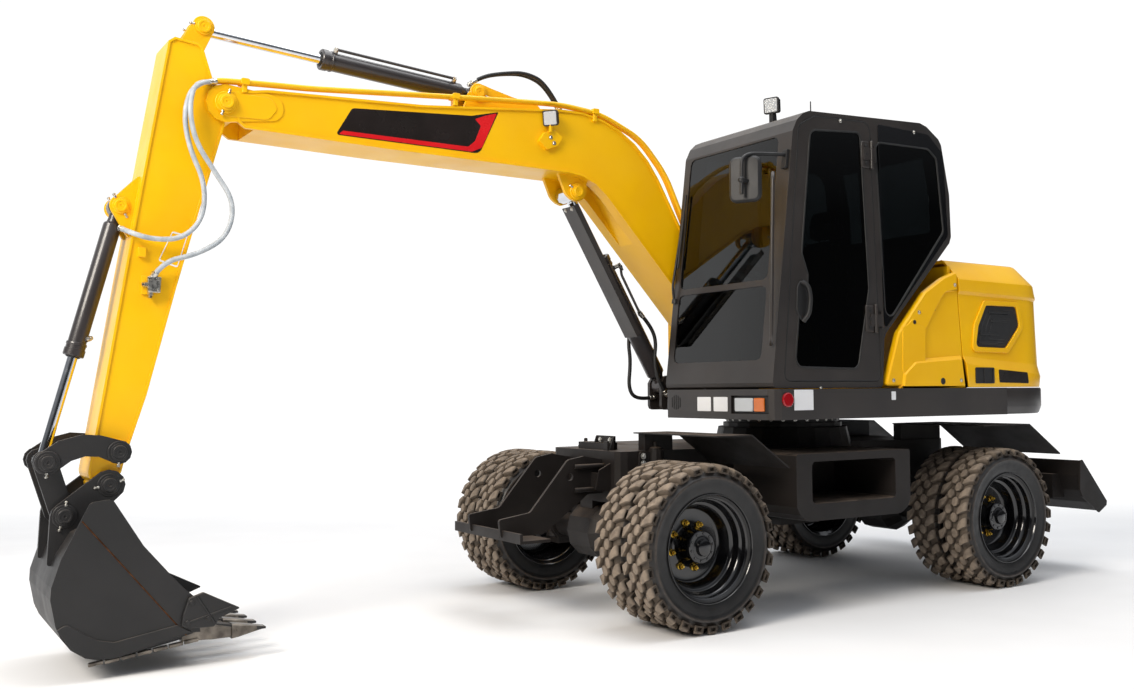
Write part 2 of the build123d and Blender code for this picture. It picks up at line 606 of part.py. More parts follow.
# ---- housings behind the cab ------------------------------------------------------------------
# Side outline of the bonnet, as (x, z, corner radius), and its plan.
BONNET_OUTLINE = [(2038, 1412, 0), (1972, 2136, 0), (1965, 2281, 30), (2851, 2272, 120), (3010, 2150, 120),
                  (3088, 1997, 120), (3134, 1572, 60), (3060, 1412, 40)]
SIDE_DOOR_OUTLINE = [(1234, 1418, 20), (1363, 1766, 40), (1625, 2042, 60), (1817, 2148, 40),
                     (1960, 2200, 20), (1964, 2136, 0), (2030, 1418, 0)]
GRILLE = [(2268, 1978, 25), (2606, 1980, 25), (2640, 1840, 40), (2480, 1679, 25), (2149, 1684, 25),
          (2180, 1830, 40)]


def bonnet_body(inset):
    """The closed body of the bonnet, every face drawn in by an inset."""
    with BuildSketch(side(HOOD_HALF_W - inset)) as profile:
        outline(BONNET_OUTLINE)
        if inset:
            offset(amount=-inset, kind=Kind.INTERSECTION, mode=Mode.REPLACE)
    extrude(profile.sketch, amount=2 * (HOOD_HALF_W - inset))
    rows = [(1900, -HOOD_HALF_W, 0), (3140, -HOOD_HALF_W, REAR_CORNER_R), (3140, HOOD_HALF_W, REAR_CORNER_R),
            (1900, HOOD_HALF_W, 0)]
    with BuildSketch(Plane.XY.offset(1300)) as plan:
        outline(rows)
        if inset:
            offset(amount=-inset, kind=Kind.INTERSECTION, mode=Mode.REPLACE)
    extrude(plan.sketch, amount=1100, mode=Mode.INTERSECT)


with BuildPart() as bonnet_inside:
    bonnet_body(HOOD_WALL)
    block((1900, 2150), (-1075, 1075), (1437, 2200))
    block((1900, 3000), (-1000, 1000), (1380, 1500))

with BuildPart() as bonnet:
    bonnet_body(0)
    add(bonnet_inside.part, mode=Mode.SUBTRACT)
    for sign in (-1, 1):
        y = sorted((sign * (HOOD_HALF_W - HOOD_WALL - 1), sign * HOOD_HALF_W))
        panel(GRILLE, *y, mode=Mode.SUBTRACT)
        y = sorted((sign * (HOOD_HALF_W - HOOD_WALL), sign * (HOOD_HALF_W - 12)))
        for i in range(5):
            z = 1715 + 55 * i
            panel([(2140, z, 0), (2660, z, 0), (2660, z + 14, 0), (2140, z + 14, 0)], *y)
finish(bonnet, "bonnet")

with BuildPart() as side_door:
    panel(SIDE_DOOR_OUTLINE, -HOOD_HALF_W, -HOOD_HALF_W + 30)
finish(side_door, "side_door")

with BuildPart() as side_housing:
    # Bulkhead between cab and engine, and the tank housing to the right of the boom.
    block((1925, 1950), (-1060, 1095), (1400, 2240))
    panel([(1170, 1400, 20), (1170, 2080, 80), (1260, 2230, 60), (1925, 2240, 0), (1925, 1400, 0)],
          350, HOOD_HALF_W)
finish(side_housing, "side_housing")

# ---- boom -----------------------------------------------------------------------------------
BOOM_OUTLINE = [(-2650, 2855, 40), (-2720, 3045, 40), (-2490, 3084, 200), (-1550, 3125, 900),
                (-34, 3280, 800), (985, 1566, 30), (870, 1505, 30), (780, 1647, 0), (-324, 2818, 420),
                (-1800, 2833, 900)]
NOSE_SLOT_X = -2570.0
EAR = 25.0
BELLY_EAR_Y = 80.0


def boom_sketch(inset=0.0):
    """The boom's side outline, drawn in by an inset, on the current sketch plane."""
    outline(BOOM_OUTLINE)
    if inset:
        offset(amount=-inset, kind=Kind.INTERSECTION, mode=Mode.SUBTRACT)


with BuildPart() as boom:
    with BuildSketch(side(BOOM_Y + BOOM_HALF_W)):
        boom_sketch()
    extrude(amount=2 * BOOM_HALF_W)
    # Cover plates above and below stand out past the side plates.
    with BuildSketch(side(BOOM_Y + BOOM_HALF_W + BOOM_FLANGE)):
        boom_sketch(14)
    extrude(amount=2 * (BOOM_HALF_W + BOOM_FLANGE))
    # Fork round the top of the arm.
    with Locations((NOSE_SLOT_X - 200, BOOM_Y, 2980)):
        Box(400, 2 * (ARM_HALF_W + RUN), 400, mode=Mode.SUBTRACT)
    for y in both_sides(BOOM_Y, ARM_HALF_W + RUN, BOOM_HALF_W + 6):
        strap([(*ARM_PIN, 105), (-2480, 2985, 75)], *y)
    for y in both_sides(BOOM_Y, BOOM_HALF_W, BOOM_HALF_W + 26):
        cross_bar(ARM_PIN, 60, *y, sides=FLATS)
    cross_bar(BOOM_FOOT, 105, BOOM_Y - BOOM_HALF_W - BOOM_FLANGE, BOOM_Y + BOOM_HALF_W + BOOM_FLANGE,
              sides=FLATS)
    cross_bar(BOOM_FOOT, 41, BOOM_Y - 200, BOOM_Y + 200, mode=Mode.SUBTRACT)
    cross_bar(ARM_PIN, 35, BOOM_Y - BOOM_HALF_W, BOOM_Y + BOOM_HALF_W)
    # Ears for the boom cylinder below, with the pocket that its free rod end swings into, and
    # for the arm cylinder above.
    for y in both_sides(BOOM_Y, BELLY_EAR_Y, BELLY_EAR_Y + EAR):
        panel([(-560, 2850, 0), (-330, 2850, 0), (-325, 2690, 50), (-405, 2630, 70), (-490, 2690, 50)], *y)
    for swept in ([(*BOOM_CYL_EYE, 79), (-268, 2768, 75)], [(-268, 2768, 75), (-190, 2650, 78)],
                  [(-190, 2650, 78), (10, 2350, 78)]):
        strap(swept, BOOM_Y - BELLY_EAR_Y + 3, BOOM_Y + BELLY_EAR_Y - 3, mode=Mode.SUBTRACT, sides=0)
    for y in both_sides(BOOM_Y, 52, 52 + EAR):
        panel([(-1240, 3120, 0), (-1190, 3270, 50), (-1126, 3345, 60), (-1030, 3320, 60), (-870, 3285, 30),
               (-680, 3262, 30), (-640, 3170, 0)], *y)
    for pin, near in ((BOOM_CYL_EYE, BELLY_EAR_Y + EAR), (ARM_CYL_FOOT, 52 + EAR)):
        for y in both_sides(BOOM_Y, near, near + 14):
            cross_bar(pin, 50, *y, sides=FLATS)
    cross_bar(ARM_CYL_FOOT, 28, BOOM_Y - 60, BOOM_Y + 60)
finish(boom, "boom")

# ---- cylinders --------------------------------------------------------------------------------
CYLINDERS = {
    # name: (foot, eye, barrel radius, rod radius, barrel length, rod length, half width of foot, of eye)
    "boom_cylinder": (BOOM_CYL_FOOT, BOOM_CYL_EYE, 62, 34, 1010, 1030, 46, 70),
    "arm_cylinder": (ARM_CYL_FOOT, ARM_CYL_EYE, 55, 30, 1010, 1070, 44, 44),
    "bucket_cylinder": (BUCKET_CYL_FOOT, LINK_PIN, 46, 26, 820, 850, 36, 36),
}
NECK = 95.0
for name, (foot, eye, barrel_r, rod_r, barrel_length, rod_length, half, eye_half) in CYLINDERS.items():
    total = math.hypot(eye[0] - foot[0], eye[1] - foot[1])
    stations = (0, NECK, NECK + 20, barrel_length - 70, barrel_length, barrel_length + 1)
    foot_end, neck_end, bore_end, collar, mouth, past = [
        at_y(along(foot, eye, d), BOOM_Y) for d in stations]
    with BuildPart() as barrel:
        bar(foot_end, bore_end, half * 0.9, sides=FLATS)
        bar(neck_end, mouth, barrel_r, sides=FLATS)
        bar(collar, mouth, barrel_r + 7, sides=FLATS)
        cross_bar(foot, 52, BOOM_Y - half, BOOM_Y + half, sides=FLATS)
        bar(bore_end, past, rod_r + 2, mode=Mode.SUBTRACT, sides=FLATS)
        cross_bar(foot, 29, BOOM_Y - 90, BOOM_Y + 90, mode=Mode.SUBTRACT)
    finish(barrel, f"{name}_barrel")
    with BuildPart() as rod:
        bar(at_y(along(foot, eye, total - rod_length), BOOM_Y), at_y(along(foot, eye, total - 20), BOOM_Y),
            rod_r)
        cross_bar(eye, rod_r * 1.7, BOOM_Y - eye_half, BOOM_Y + eye_half, sides=FLATS)
        cross_bar(eye, rod_r * 0.85, BOOM_Y - eye_half, BOOM_Y + eye_half, mode=Mode.SUBTRACT)
    finish(rod, f"{name}_rod")

# ---- arm --------------------------------------------------------------------------------------
ARM_OUTLINE = [(-3022, 3312, 30), (-2851, 3291, 30), (-2722, 2880, 60), (-2975, 1970, 0), (-3124, 1391, 0),
               (-3230, 1060, 60), (-3249, 982, 20), (-3390, 940, 30), (-3406, 996, 30), (-3347, 1353, 0),
               (-3238, 2033, 0), (-3112, 2785, 0)]
with BuildPart() as arm:
    with BuildSketch(side(BOOM_Y + ARM_HALF_W - 8)):
        outline(ARM_OUTLINE)
    extrude(amount=2 * ARM_HALF_W - 16)
    with BuildSketch(side(BOOM_Y + ARM_HALF_W)):
        outline(ARM_OUTLINE)
        offset(amount=-12, kind=Kind.INTERSECTION, mode=Mode.SUBTRACT)
    extrude(amount=2 * ARM_HALF_W)
    for pin, radius in ((ARM_PIN, 100), (IDLER_PIN, 62), (BUCKET_PIN, 72)):
        cross_bar(pin, radius, BOOM_Y - ARM_HALF_W, BOOM_Y + ARM_HALF_W, sides=FLATS)
    for y in both_sides(BOOM_Y, 50, 75):
        strap([(*ARM_CYL_EYE, 58), (-2900, 3250, 60), (-2960, 3180, 60)], *y)
        strap([(*BUCKET_CYL_FOOT, 52), (-3150, 2520, 30), (-3200, 2240, 20)], *y)
    cross_bar(BUCKET_CYL_FOOT, 28, BOOM_Y - 60, BOOM_Y + 60)
    for y in both_sides(BOOM_Y, ARM_HALF_W, ARM_HALF_W + 72):
        cross_bar(IDLER_PIN, 28, *y)
    for y in both_sides(BOOM_Y, ARM_HALF_W, ARM_HALF_W + 40):
        cross_bar(BUCKET_PIN, 28, *y)
    cross_bar(ARM_PIN, 36, BOOM_Y - ARM_HALF_W, BOOM_Y + ARM_HALF_W, mode=Mode.SUBTRACT)
finish(arm, "arm")

# ---- bucket linkage and bucket ------------------------------------------------------------------
LINK_Y = (100.0, 128.0)
IDLER_Y = (185.0, 210.0)
EAR_Y = (150.0, 178.0)
with BuildPart() as idler_links:
    for y in both_sides(BOOM_Y, *IDLER_Y):
        with BuildSketch(side(y[1])):
            with BuildLine():
                Polyline((-3269, 1163), (-3355, 1188), (-3440, 1195), (-3555, 1165), (-3650, 1100),
                         (-3560, 1018), (-3495, 1065), (-3430, 1085), (-3365, 1080), (-3300, 1050),
                         close=True)
            make_face()
            with Locations(IDLER_PIN, LINK_PIN):
                RegularPolygon(62, FLATS)
        extrude(amount=y[1] - y[0])
    for y in both_sides(BOOM_Y, *IDLER_Y):
        cross_bar(IDLER_PIN, 29, *y, mode=Mode.SUBTRACT)
    for y in both_sides(BOOM_Y, LINK_Y[0] - 5, IDLER_Y[1] + 10):
        cross_bar(LINK_PIN, 28, *y)
finish(idler_links, "idler_links")

with BuildPart() as power_link:
    for y in both_sides(BOOM_Y, *LINK_Y):
        strap([(*LINK_PIN, 58), (*BUCKET_LINK_PIN, 58)], *y)
    middle = along(LINK_PIN, BUCKET_LINK_PIN, 165)
    cross_bar(middle, 30, BOOM_Y - LINK_Y[0], BOOM_Y + LINK_Y[0], sides=FLATS)
    for y in both_sides(BOOM_Y, *LINK_Y):
        for pin in (LINK_PIN, BUCKET_LINK_PIN):
            cross_bar(pin, 29, *y, mode=Mode.SUBTRACT)
finish(power_link, "power_link")

BUCKET_SIDE = [(-3432, 867, 20), (-3329, 878, 20), (-3181, 638, 60), (-3046, 479, 60), (-2943, 365, 20),
               (-2930, 178, 10), (-3346, 88, 200), (-3490, 128, 120), (-3577, 250, 150), (-3613, 440, 120),
               (-3561, 602, 60)]
BUCKET_BACK = [(-3492, 712, 10), (-3330, 795, 10), (-3181, 638, 60), (-3046, 479, 60), (-2943, 365, 20),
               (-2850, 190, 0), (-2850, 168, 0), (-2950, 158, 0), (-3346, 88, 200), (-3490, 128, 120),
               (-3577, 250, 150), (-3613, 440, 120), (-3561, 602, 60)]
BUCKET_CAVITY = [(-3330, 776, 10), (-3476, 702, 20), (-3540, 602, 60), (-3597, 440, 110), (-3562, 258, 140),
                 (-3478, 142, 110), (-3346, 104, 190), (-2950, 180, 0), (-2780, 195, 0), (-2780, 420, 0),
                 (-3090, 700, 0), (-3250, 860, 0), (-3312, 860, 0)]
TEETH = 5
with BuildPart() as bucket:
    panel(BUCKET_BACK, BOOM_Y - BUCKET_HALF_W + 14, BOOM_Y + BUCKET_HALF_W - 14)
    panel(BUCKET_CAVITY, BOOM_Y - BUCKET_HALF_W, BOOM_Y + BUCKET_HALF_W, mode=Mode.SUBTRACT)
    for y in both_sides(BOOM_Y, BUCKET_HALF_W - 16, BUCKET_HALF_W):
        panel(BUCKET_SIDE, *y)
        panel([(-3150, 560, 0), (-2930, 360, 0), (-2900, 180, 0), (-2960, 180, 0), (-2985, 330, 0)], *y)
    for y in both_sides(BOOM_Y, *EAR_Y):
        strap([(*BUCKET_PIN, 78), (*BUCKET_LINK_PIN, 66), (-3400, 790, 30)], *y)
        strap([(*BUCKET_LINK_PIN, 66), (-3400, 740, 30), (-3585, 560, 12)], *y)
    for y in both_sides(BOOM_Y, *EAR_Y):
        cross_bar(BUCKET_PIN, 29, *y, mode=Mode.SUBTRACT)
    for y in both_sides(BOOM_Y, LINK_Y[1] + RUN, EAR_Y[1] + 10):
        cross_bar(BUCKET_LINK_PIN, 28, *y)
    # Notches in the top edge, where the links' free lower eyes swing in.
    for y in both_sides(BOOM_Y, LINK_Y[0] - RUN, LINK_Y[1] + RUN):
        strap([(*BUCKET_LINK_PIN, 66), (-3517, 719, 66)], *y, mode=Mode.SUBTRACT)
    for i in range(TEETH):
        y = BOOM_Y + (i - (TEETH - 1) / 2) * (2 * BUCKET_HALF_W - 80) / (TEETH - 1)
        panel([(-2980, 200, 0), (-2850, 215, 0), (-2558, 165, 0), (-2558, 155, 0), (-2850, 145, 0),
               (-2980, 140, 0)], y - 30, y + 30)
finish(bucket, "bucket")
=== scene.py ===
"""A wheeled excavator: its looks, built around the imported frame.

Blender works in metres. Tables and shapes here are in millimetres, in the frame of the CAD part:
+X towards the rear, +Y towards the machine's right, +Z up. piece() turns them to metres.
"""
import math

import bmesh
import bpy
import numpy as np
from mathutils import Matrix, Vector


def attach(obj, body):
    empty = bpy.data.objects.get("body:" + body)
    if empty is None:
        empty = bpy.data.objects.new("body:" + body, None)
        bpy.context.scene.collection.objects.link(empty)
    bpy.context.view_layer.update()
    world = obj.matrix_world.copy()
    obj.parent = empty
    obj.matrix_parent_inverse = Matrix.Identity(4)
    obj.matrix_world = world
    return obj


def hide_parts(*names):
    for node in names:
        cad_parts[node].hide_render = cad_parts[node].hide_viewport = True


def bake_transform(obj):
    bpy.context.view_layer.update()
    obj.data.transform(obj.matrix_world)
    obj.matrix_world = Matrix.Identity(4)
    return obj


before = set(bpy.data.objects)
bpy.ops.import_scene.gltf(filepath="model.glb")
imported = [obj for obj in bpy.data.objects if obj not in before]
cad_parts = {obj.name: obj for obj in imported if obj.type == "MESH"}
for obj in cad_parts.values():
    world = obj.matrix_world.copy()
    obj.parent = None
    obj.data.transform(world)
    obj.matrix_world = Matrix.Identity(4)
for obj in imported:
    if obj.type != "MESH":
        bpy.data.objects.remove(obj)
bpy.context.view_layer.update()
MM = 0.001
BEVEL_ANGLE = 35.0      # degrees: an edge that turns less is left sharp
WELD_WITHIN = 2e-5      # metres: corners of a mesh that are closer than this become one
# Scales of wave textures: a scale s gives a band in every 314 / s mm.
LENS_WAVE = 1000 / 31.4
CLOTH_WAVE = 1000 / 12.56

# ---- places shared with the CAD part, as (x, z) ------------------------------------------------
FRONT_AXLE_X = -261.0
REAR_AXLE_X = 2441.0
AXLE_Z = 487.0
TYRE_YS = (748.0, 1018.0)
BOOM_Y = 140.0
BOOM_SIDE = 160.0
ARM_SIDE = 142.0
BUCKET_SIDE = 375.0
BOOM_CYL_FOOT = (360.0, 1430.0)
BOOM_CYL_EYE = (-405.0, 2712.0)
ARM_PIN = (-2730.0, 2980.0)
ARM_CYL_FOOT = (-1126.0, 3279.0)
ARM_CYL_EYE = (-2826.0, 3410.0)
BUCKET_CYL_FOOT = (-3249.0, 2386.0)
IDLER_PIN = (-3269.0, 1101.0)
LINK_PIN = (-3604.0, 1060.0)
BUCKET_PIN = (-3309.0, 934.0)
BUCKET_LINK_PIN = (-3519.0, 789.0)
BLADE_CYL_FOOT = (2750.0, 930.0)
BLADE_CYL_EYE = (3230.0, 775.0)
CAB_LEFT = -1100.0
SKIRT_LEFT = -1130.0
SKIRT_FRONT = 237.0
SEAT_Y = -575.0
SLEW_X = 1365.0
SLEW_BOLT_R = 404.0
SLEW_BOLT_Z = 1186.0
LEFT = (0, -1, 0)
UP = (0, 0, 1)


# ---- camera and light --------------------------------------------------------------------------
def camera_at(place, yaw, pitch, roll, lens):
    """A camera that looks along yaw (from +Y towards +X) and pitch, rolled about its own axis."""
    yaw, pitch, roll = (math.radians(angle) for angle in (yaw, pitch, roll))
    forward = Vector((math.sin(yaw) * math.cos(pitch), math.cos(yaw) * math.cos(pitch), math.sin(pitch)))
    right = Vector((math.cos(yaw), -math.sin(yaw), 0.0))
    up = right.cross(forward)
    across = right * math.cos(roll) + up * math.sin(roll)
    above = up * math.cos(roll) - right * math.sin(roll)
    camera = bpy.data.objects.new("camera", bpy.data.cameras.new("camera"))
    camera.data.lens = lens
    camera.data.sensor_width = 36.0
    turn = Matrix((across, above, -forward)).transposed().to_4x4()
    camera.matrix_world = Matrix.Translation(place) @ turn
    bpy.context.scene.collection.objects.link(camera)
    bpy.context.scene.camera = camera


camera_at((-4.430, -6.119, 1.396), yaw=32.63, pitch=2.36, roll=-0.39, lens=35.54)
bpy.context.scene.view_settings.view_transform = "Standard"


def lamp_at(name, place, target, size, power, colour="FFFFFF"):
    """A square soft light of some metres, aimed at a point."""
    light = bpy.data.lights.new(name, "AREA")
    light.size = size
    light.energy = power
    light.color = linear(colour)[:3]
    thing = bpy.data.objects.new(name, light)
    thing.location = place
    thing.rotation_euler = (Vector(target) - Vector(place)).to_track_quat("-Z", "Y").to_euler()
    bpy.context.scene.collection.objects.link(thing)


# ---- colours and nodes -------------------------------------------------------------------------
def linear(code):
    """An sRGB hex colour as linear red, green, blue and alpha."""
    srgb = np.array([int(code[i:i + 2], 16) for i in (0, 2, 4)]) / 255
    rgb = np.where(srgb <= 0.04045, srgb / 12.92, ((srgb + 0.055) / 1.055) ** 2.4)
    return (*rgb.tolist(), 1.0)


def put(tree, kind, sockets=None, **settings):
    """Adds a node with its settings. A socket's value is a constant, or another node's output to link."""
    node = tree.nodes.new(kind)
    for name, value in settings.items():
        setattr(node, name, value)
    for name, value in (sockets or {}).items():
        if isinstance(value, bpy.types.NodeSocket):
            tree.links.new(value, node.inputs[name])
        else:
            node.inputs[name].default_value = value
    return node


def new_tree(name):
    """An empty material, with its node tree and its Object coordinates."""
    material = bpy.data.materials.new(name)
    material.use_nodes = True
    tree = material.node_tree
    tree.nodes.clear()
    return material, tree, put(tree, "ShaderNodeTexCoord").outputs["Object"]


def mottle(tree, where, size, low=0.0, high=1.0, detail=3.0, spread=(0.35, 0.65)):
    """Soft noise with patches of a size in millimetres, stretched to run from low to high."""
    noise = put(tree, "ShaderNodeTexNoise", {"Vector": where, "Scale": 1000 / size, "Detail": detail})
    return put(tree, "ShaderNodeMapRange", {
        "Value": noise.outputs["Fac"], "From Min": spread[0], "From Max": spread[1],
        "To Min": low, "To Max": high}).outputs["Result"]


def mixed(tree, share, first, second):
    """Two colours mixed by a share. Each is a hex code or a node's output."""
    pick = [linear(c) if isinstance(c, str) else c for c in (first, second)]
    return put(tree, "ShaderNodeMix", {0: share, 6: pick[0], 7: pick[1]}, data_type="RGBA").outputs[2]


def times(tree, first, second, how="MULTIPLY"):
    """Two numbers joined by one sum."""
    return put(tree, "ShaderNodeMath", {0: first, 1: second}, operation=how).outputs[0]


def shader(tree, colour, roughness, normal=None, **sockets):
    """The surface itself. Names with _ for spaces set constant sockets straight on the shader."""
    given = {"Base Color": linear(colour) if isinstance(colour, str) else colour, "Roughness": roughness}
    if normal is not None:
        given["Normal"] = normal
    given.update({name.replace("_", " "): value for name, value in sockets.items()})
    surface = put(tree, "ShaderNodeBsdfPrincipled", given)
    put(tree, "ShaderNodeOutputMaterial", {"Surface": surface.outputs[0]})


def relief(tree, height, depth, edge=0.0):
    """A bump of some millimetres. edge rounds the sharp edges of plate by that radius."""
    sockets = {"Height": height, "Distance": depth * MM, "Strength": 1.0}
    if edge:
        eased = put(tree, "ShaderNodeBevel", {"Radius": edge * MM}, samples=4)
        sockets["Normal"] = eased.outputs[0]
    return put(tree, "ShaderNodeBump", sockets).outputs[0]


def facing_up(tree):
    """1 where a face looks at the sky, 0 where it looks sideways or down."""
    way = put(tree, "ShaderNodeNewGeometry").outputs["Normal"]
    up = put(tree, "ShaderNodeSeparateXYZ", {0: way}).outputs["Z"]
    return put(tree, "ShaderNodeMapRange",
               {"Value": up, "From Min": 0.45, "From Max": 0.95}).outputs["Result"]


TONE_PATCH, POLISH_PATCH, DUST_PATCH = 420, 160, 90


def coated_steel(name, tones, roughness, peel, dust=None, edge=2.5, **sockets):
    """A coated surface: two close tones in wide patches, a fine skin, and dust that lies on top faces."""
    material, tree, where = new_tree(name)
    colour = mixed(tree, mottle(tree, where, TONE_PATCH), *tones)
    rough = mottle(tree, where, POLISH_PATCH, *roughness)
    if dust:
        lying = times(tree, facing_up(tree), mottle(tree, where, DUST_PATCH, 0.25, 0.8, detail=6))
        colour = mixed(tree, lying, colour, dust)
        rough = times(tree, rough, times(tree, lying, 0.35), "ADD")
    size, depth = peel
    skin = mottle(tree, where, size, detail=2, spread=(0.2, 0.8))
    shader(tree, colour, rough, relief(tree, skin, depth, edge=edge), **sockets)
    return material


# ---- finishes ----------------------------------------------------------------------------------
# Two-pack acrylic enamel, sprayed on steel plate: deep clean yellow under a clear gloss, with the
# faint orange peel of a spray gun, about 9 mm across.
yellow_enamel = coated_steel("yellow_acrylic_enamel", ("EDB200", "F2BA00"), (0.34, 0.44), (9, 0.05),
                             Coat_Weight=0.12, Coat_Roughness=0.12, Specular_IOR_Level=0.35)
# The same enamel in a warm charcoal, satin: the cab and the skirt.
charcoal_enamel = coated_steel("charcoal_satin_enamel", ("25211F", "2D2825"), (0.36, 0.46), (7, 0.05),
                               dust="544B43", Coat_Weight=0.2, Coat_Roughness=0.25)
# Chassis primer and topcoat, thicker and duller, with road dust on what looks up.
chassis_enamel = coated_steel("chassis_black_enamel", ("181514", "211D1B"), (0.44, 0.56), (5, 0.08),
                              dust="5C5046", Specular_IOR_Level=0.3)
# Stoved gloss black on pressed wheel rims.
rim_enamel = coated_steel("gloss_black_stoved_enamel", ("08080A", "0C0C0E"), (0.13, 0.20), (12, 0.03),
                          edge=1.5, Coat_Weight=0.5, Coat_Roughness=0.05)
# Bucket paint over shot-blasted plate: near black with a sand-like grain of about 3 mm.
bucket_enamel = coated_steel("bucket_black_enamel", ("151516", "1C1B1C"), (0.46, 0.58), (3, 0.18),
                             dust="4E463E")
# Cylinder barrels: drawn steel tube in dark charcoal gloss.
barrel_enamel = coated_steel("barrel_charcoal_enamel", ("2D2A2B", "353132"), (0.28, 0.36), (14, 0.03),
                             Coat_Weight=0.25, Coat_Roughness=0.15)
# Injection-moulded ABS and polypropylene trim with a leather grain of about 2 mm.
black_plastic = coated_steel("grained_black_abs", ("131314", "19191A"), (0.45, 0.60), (2, 0.12), edge=1.0)
# Blank vinyl film: off-white labels, a black panel and its red stripe.
label_film = coated_steel("white_vinyl_film", ("DADBDD", "E6E7E8"), (0.35, 0.45), (30, 0.01), edge=0.5)
dark_film = coated_steel("black_vinyl_film", ("17120F", "201917"), (0.22, 0.30), (40, 0.01), edge=0.5)
red_film = coated_steel("red_vinyl_film", ("C4101A", "D81C20"), (0.22, 0.30), (40, 0.01), edge=0.5)
# EPDM weather seal and hose cover rubber.
seal_rubber = coated_steel("black_epdm_rubber", ("0D0D0E", "121212"), (0.50, 0.65), (4, 0.05), edge=0.8)


def bare_metal(name, tones, roughness, grain, depth=0.04):
    """Metal with no paint: its tone and its polish vary in small patches."""
    material, tree, where = new_tree(name)
    colour = mixed(tree, mottle(tree, where, grain * 6), *tones)
    rough = mottle(tree, where, grain * 3, *roughness)
    shader(tree, colour, rough, relief(tree, mottle(tree, where, grain), depth, edge=0.8), Metallic=1.0)
    return material


# Hard chrome, ground and polished, on piston rods; the mirror's silver too.
hard_chrome = bare_metal("hard_chrome", ("D5D7DA", "E4E6E8"), (0.06, 0.12), 18, 0.004)
# Bright zinc plate on fasteners, couplings and grease nipples.
zinc_plate = bare_metal("zinc_plated_steel", ("B9B7B0", "CFCCC4"), (0.22, 0.36), 6)
# Yellow-passivated zinc on wheel nuts: brassy.
brassy_zinc = bare_metal("yellow_passivated_zinc", ("B08A2C", "D2AE4A"), (0.20, 0.32), 5)
# Weld metal left bare along a seam, gone brown.
weld_steel = bare_metal("rusted_weld_bead", ("4A2E1E", "6B4A33"), (0.55, 0.7), 5, 0.3)
# Cast manganese steel of the bucket's teeth and lip blocks, rubbed bright by soil.
worn_steel = bare_metal("abraded_manganese_steel", ("55504B", "8A837A"), (0.35, 0.55), 10, 0.25)


def tinted_glass():
    """Toughened safety glass, grey tinted, about 6 mm thick, with a faint film of dust."""
    material, tree, where = new_tree("tinted_safety_glass")
    film = mottle(tree, where, 240, 0.0, 0.015)
    shader(tree, "3C4244", film, Transmission_Weight=1.0, IOR=1.45, Specular_IOR_Level=0.2)
    return material


def clear_lens(name, colour):
    """Polycarbonate lens with upright prism ribs about 10 mm apart."""
    material, tree, where = new_tree(name)
    ribs = put(tree, "ShaderNodeTexWave", {"Vector": where, "Scale": LENS_WAVE}, bands_direction="Y")
    shader(tree, colour, 0.05, relief(tree, ribs.outputs["Fac"], 0.8), Transmission_Weight=0.35,
           Coat_Weight=0.6)
    return material


def tread_rubber():
    """Natural and butadiene rubber tread: grey-brown with road dust and a painted highlight on its lug tops,
    darkened down the lug sides into black grooves as painted shade.
    """
    material, tree, where = new_tree("tread_rubber_dust_and_painted_shade")
    lug_dust_and_shade = put(tree, "ShaderNodeAttribute", attribute_name="lug_height").outputs["Fac"]
    # Dust and a painted highlight on the lug tops; painted shade lower on the lugs and in the grooves.
    dust = times(tree, lug_dust_and_shade, mottle(tree, where, 45, 0.55, 1.0, detail=6))
    colour = mixed(tree, dust, mixed(tree, mottle(tree, where, 90), "1B1714", "332B24"), "8B7D6E")
    skin = mottle(tree, where, 4, detail=4, spread=(0.2, 0.8))
    shader(tree, colour, mottle(tree, where, 40, 0.62, 0.85), relief(tree, skin, 0.5),
           Specular_IOR_Level=0.35)
    return material


def wall_rubber():
    """Side wall rubber: clean black, satin, dusty brown on its moulded rib and out towards the tread."""
    material, tree, where = new_tree("black_sidewall_rubber")
    rib = put(tree, "ShaderNodeAttribute", attribute_name="lug_height").outputs["Fac"]
    clean = mixed(tree, mottle(tree, where, 90, detail=5), "0A0A0B", "131212")
    colour = mixed(tree, times(tree, rib, mottle(tree, where, 35, 0.3, 0.9, detail=5)), clean, "4A4038")
    shader(tree, colour, mottle(tree, where, 60, 0.34, 0.48), relief(tree, mottle(tree, where, 3), 0.15))
    return material


def braided_hose():
    """Hose in a pale grey textile braid of 3 mm strands."""
    material, tree, where = new_tree("grey_braided_hose")
    turned = put(tree, "ShaderNodeMapping", {"Vector": where, "Rotation": (0.8, 0.0, 0.8)}).outputs[0]
    cells = put(tree, "ShaderNodeTexVoronoi", {"Vector": turned, "Scale": 1000 / 3}).outputs["Distance"]
    colour = mixed(tree, mottle(tree, where, 60), "9BA3AA", "B9BFC4")
    shader(tree, colour, 0.42, relief(tree, cells, 0.6))
    return material


def seat_cloth():
    """Woven polyester seat cloth, dark grey, threads about 4 mm apart so that the weave shows."""
    material, tree, where = new_tree("woven_polyester_cloth")
    weave = [put(tree, "ShaderNodeTexWave", {"Vector": where, "Scale": CLOTH_WAVE},
                 bands_direction=way).outputs["Fac"] for way in ("Y", "Z")]
    threads = times(tree, weave[0], weave[1])
    colour = mixed(tree, mottle(tree, where, 50), "2B2C2E", "3B3C3E")
    shader(tree, colour, 0.9, relief(tree, threads, 0.6), Sheen_Weight=0.3, Sheen_Roughness=0.5)
    return material


glass = tinted_glass()
lamp_lens = clear_lens("clear_polycarbonate_lens", "DDE2E6")
orange_lens = clear_lens("orange_polycarbonate_lens", "F07A10")
red_lens = clear_lens("red_polycarbonate_lens", "B4101C")
tread = tread_rubber()
sidewall = wall_rubber()
grey_braid = braided_hose()
cloth = seat_cloth()

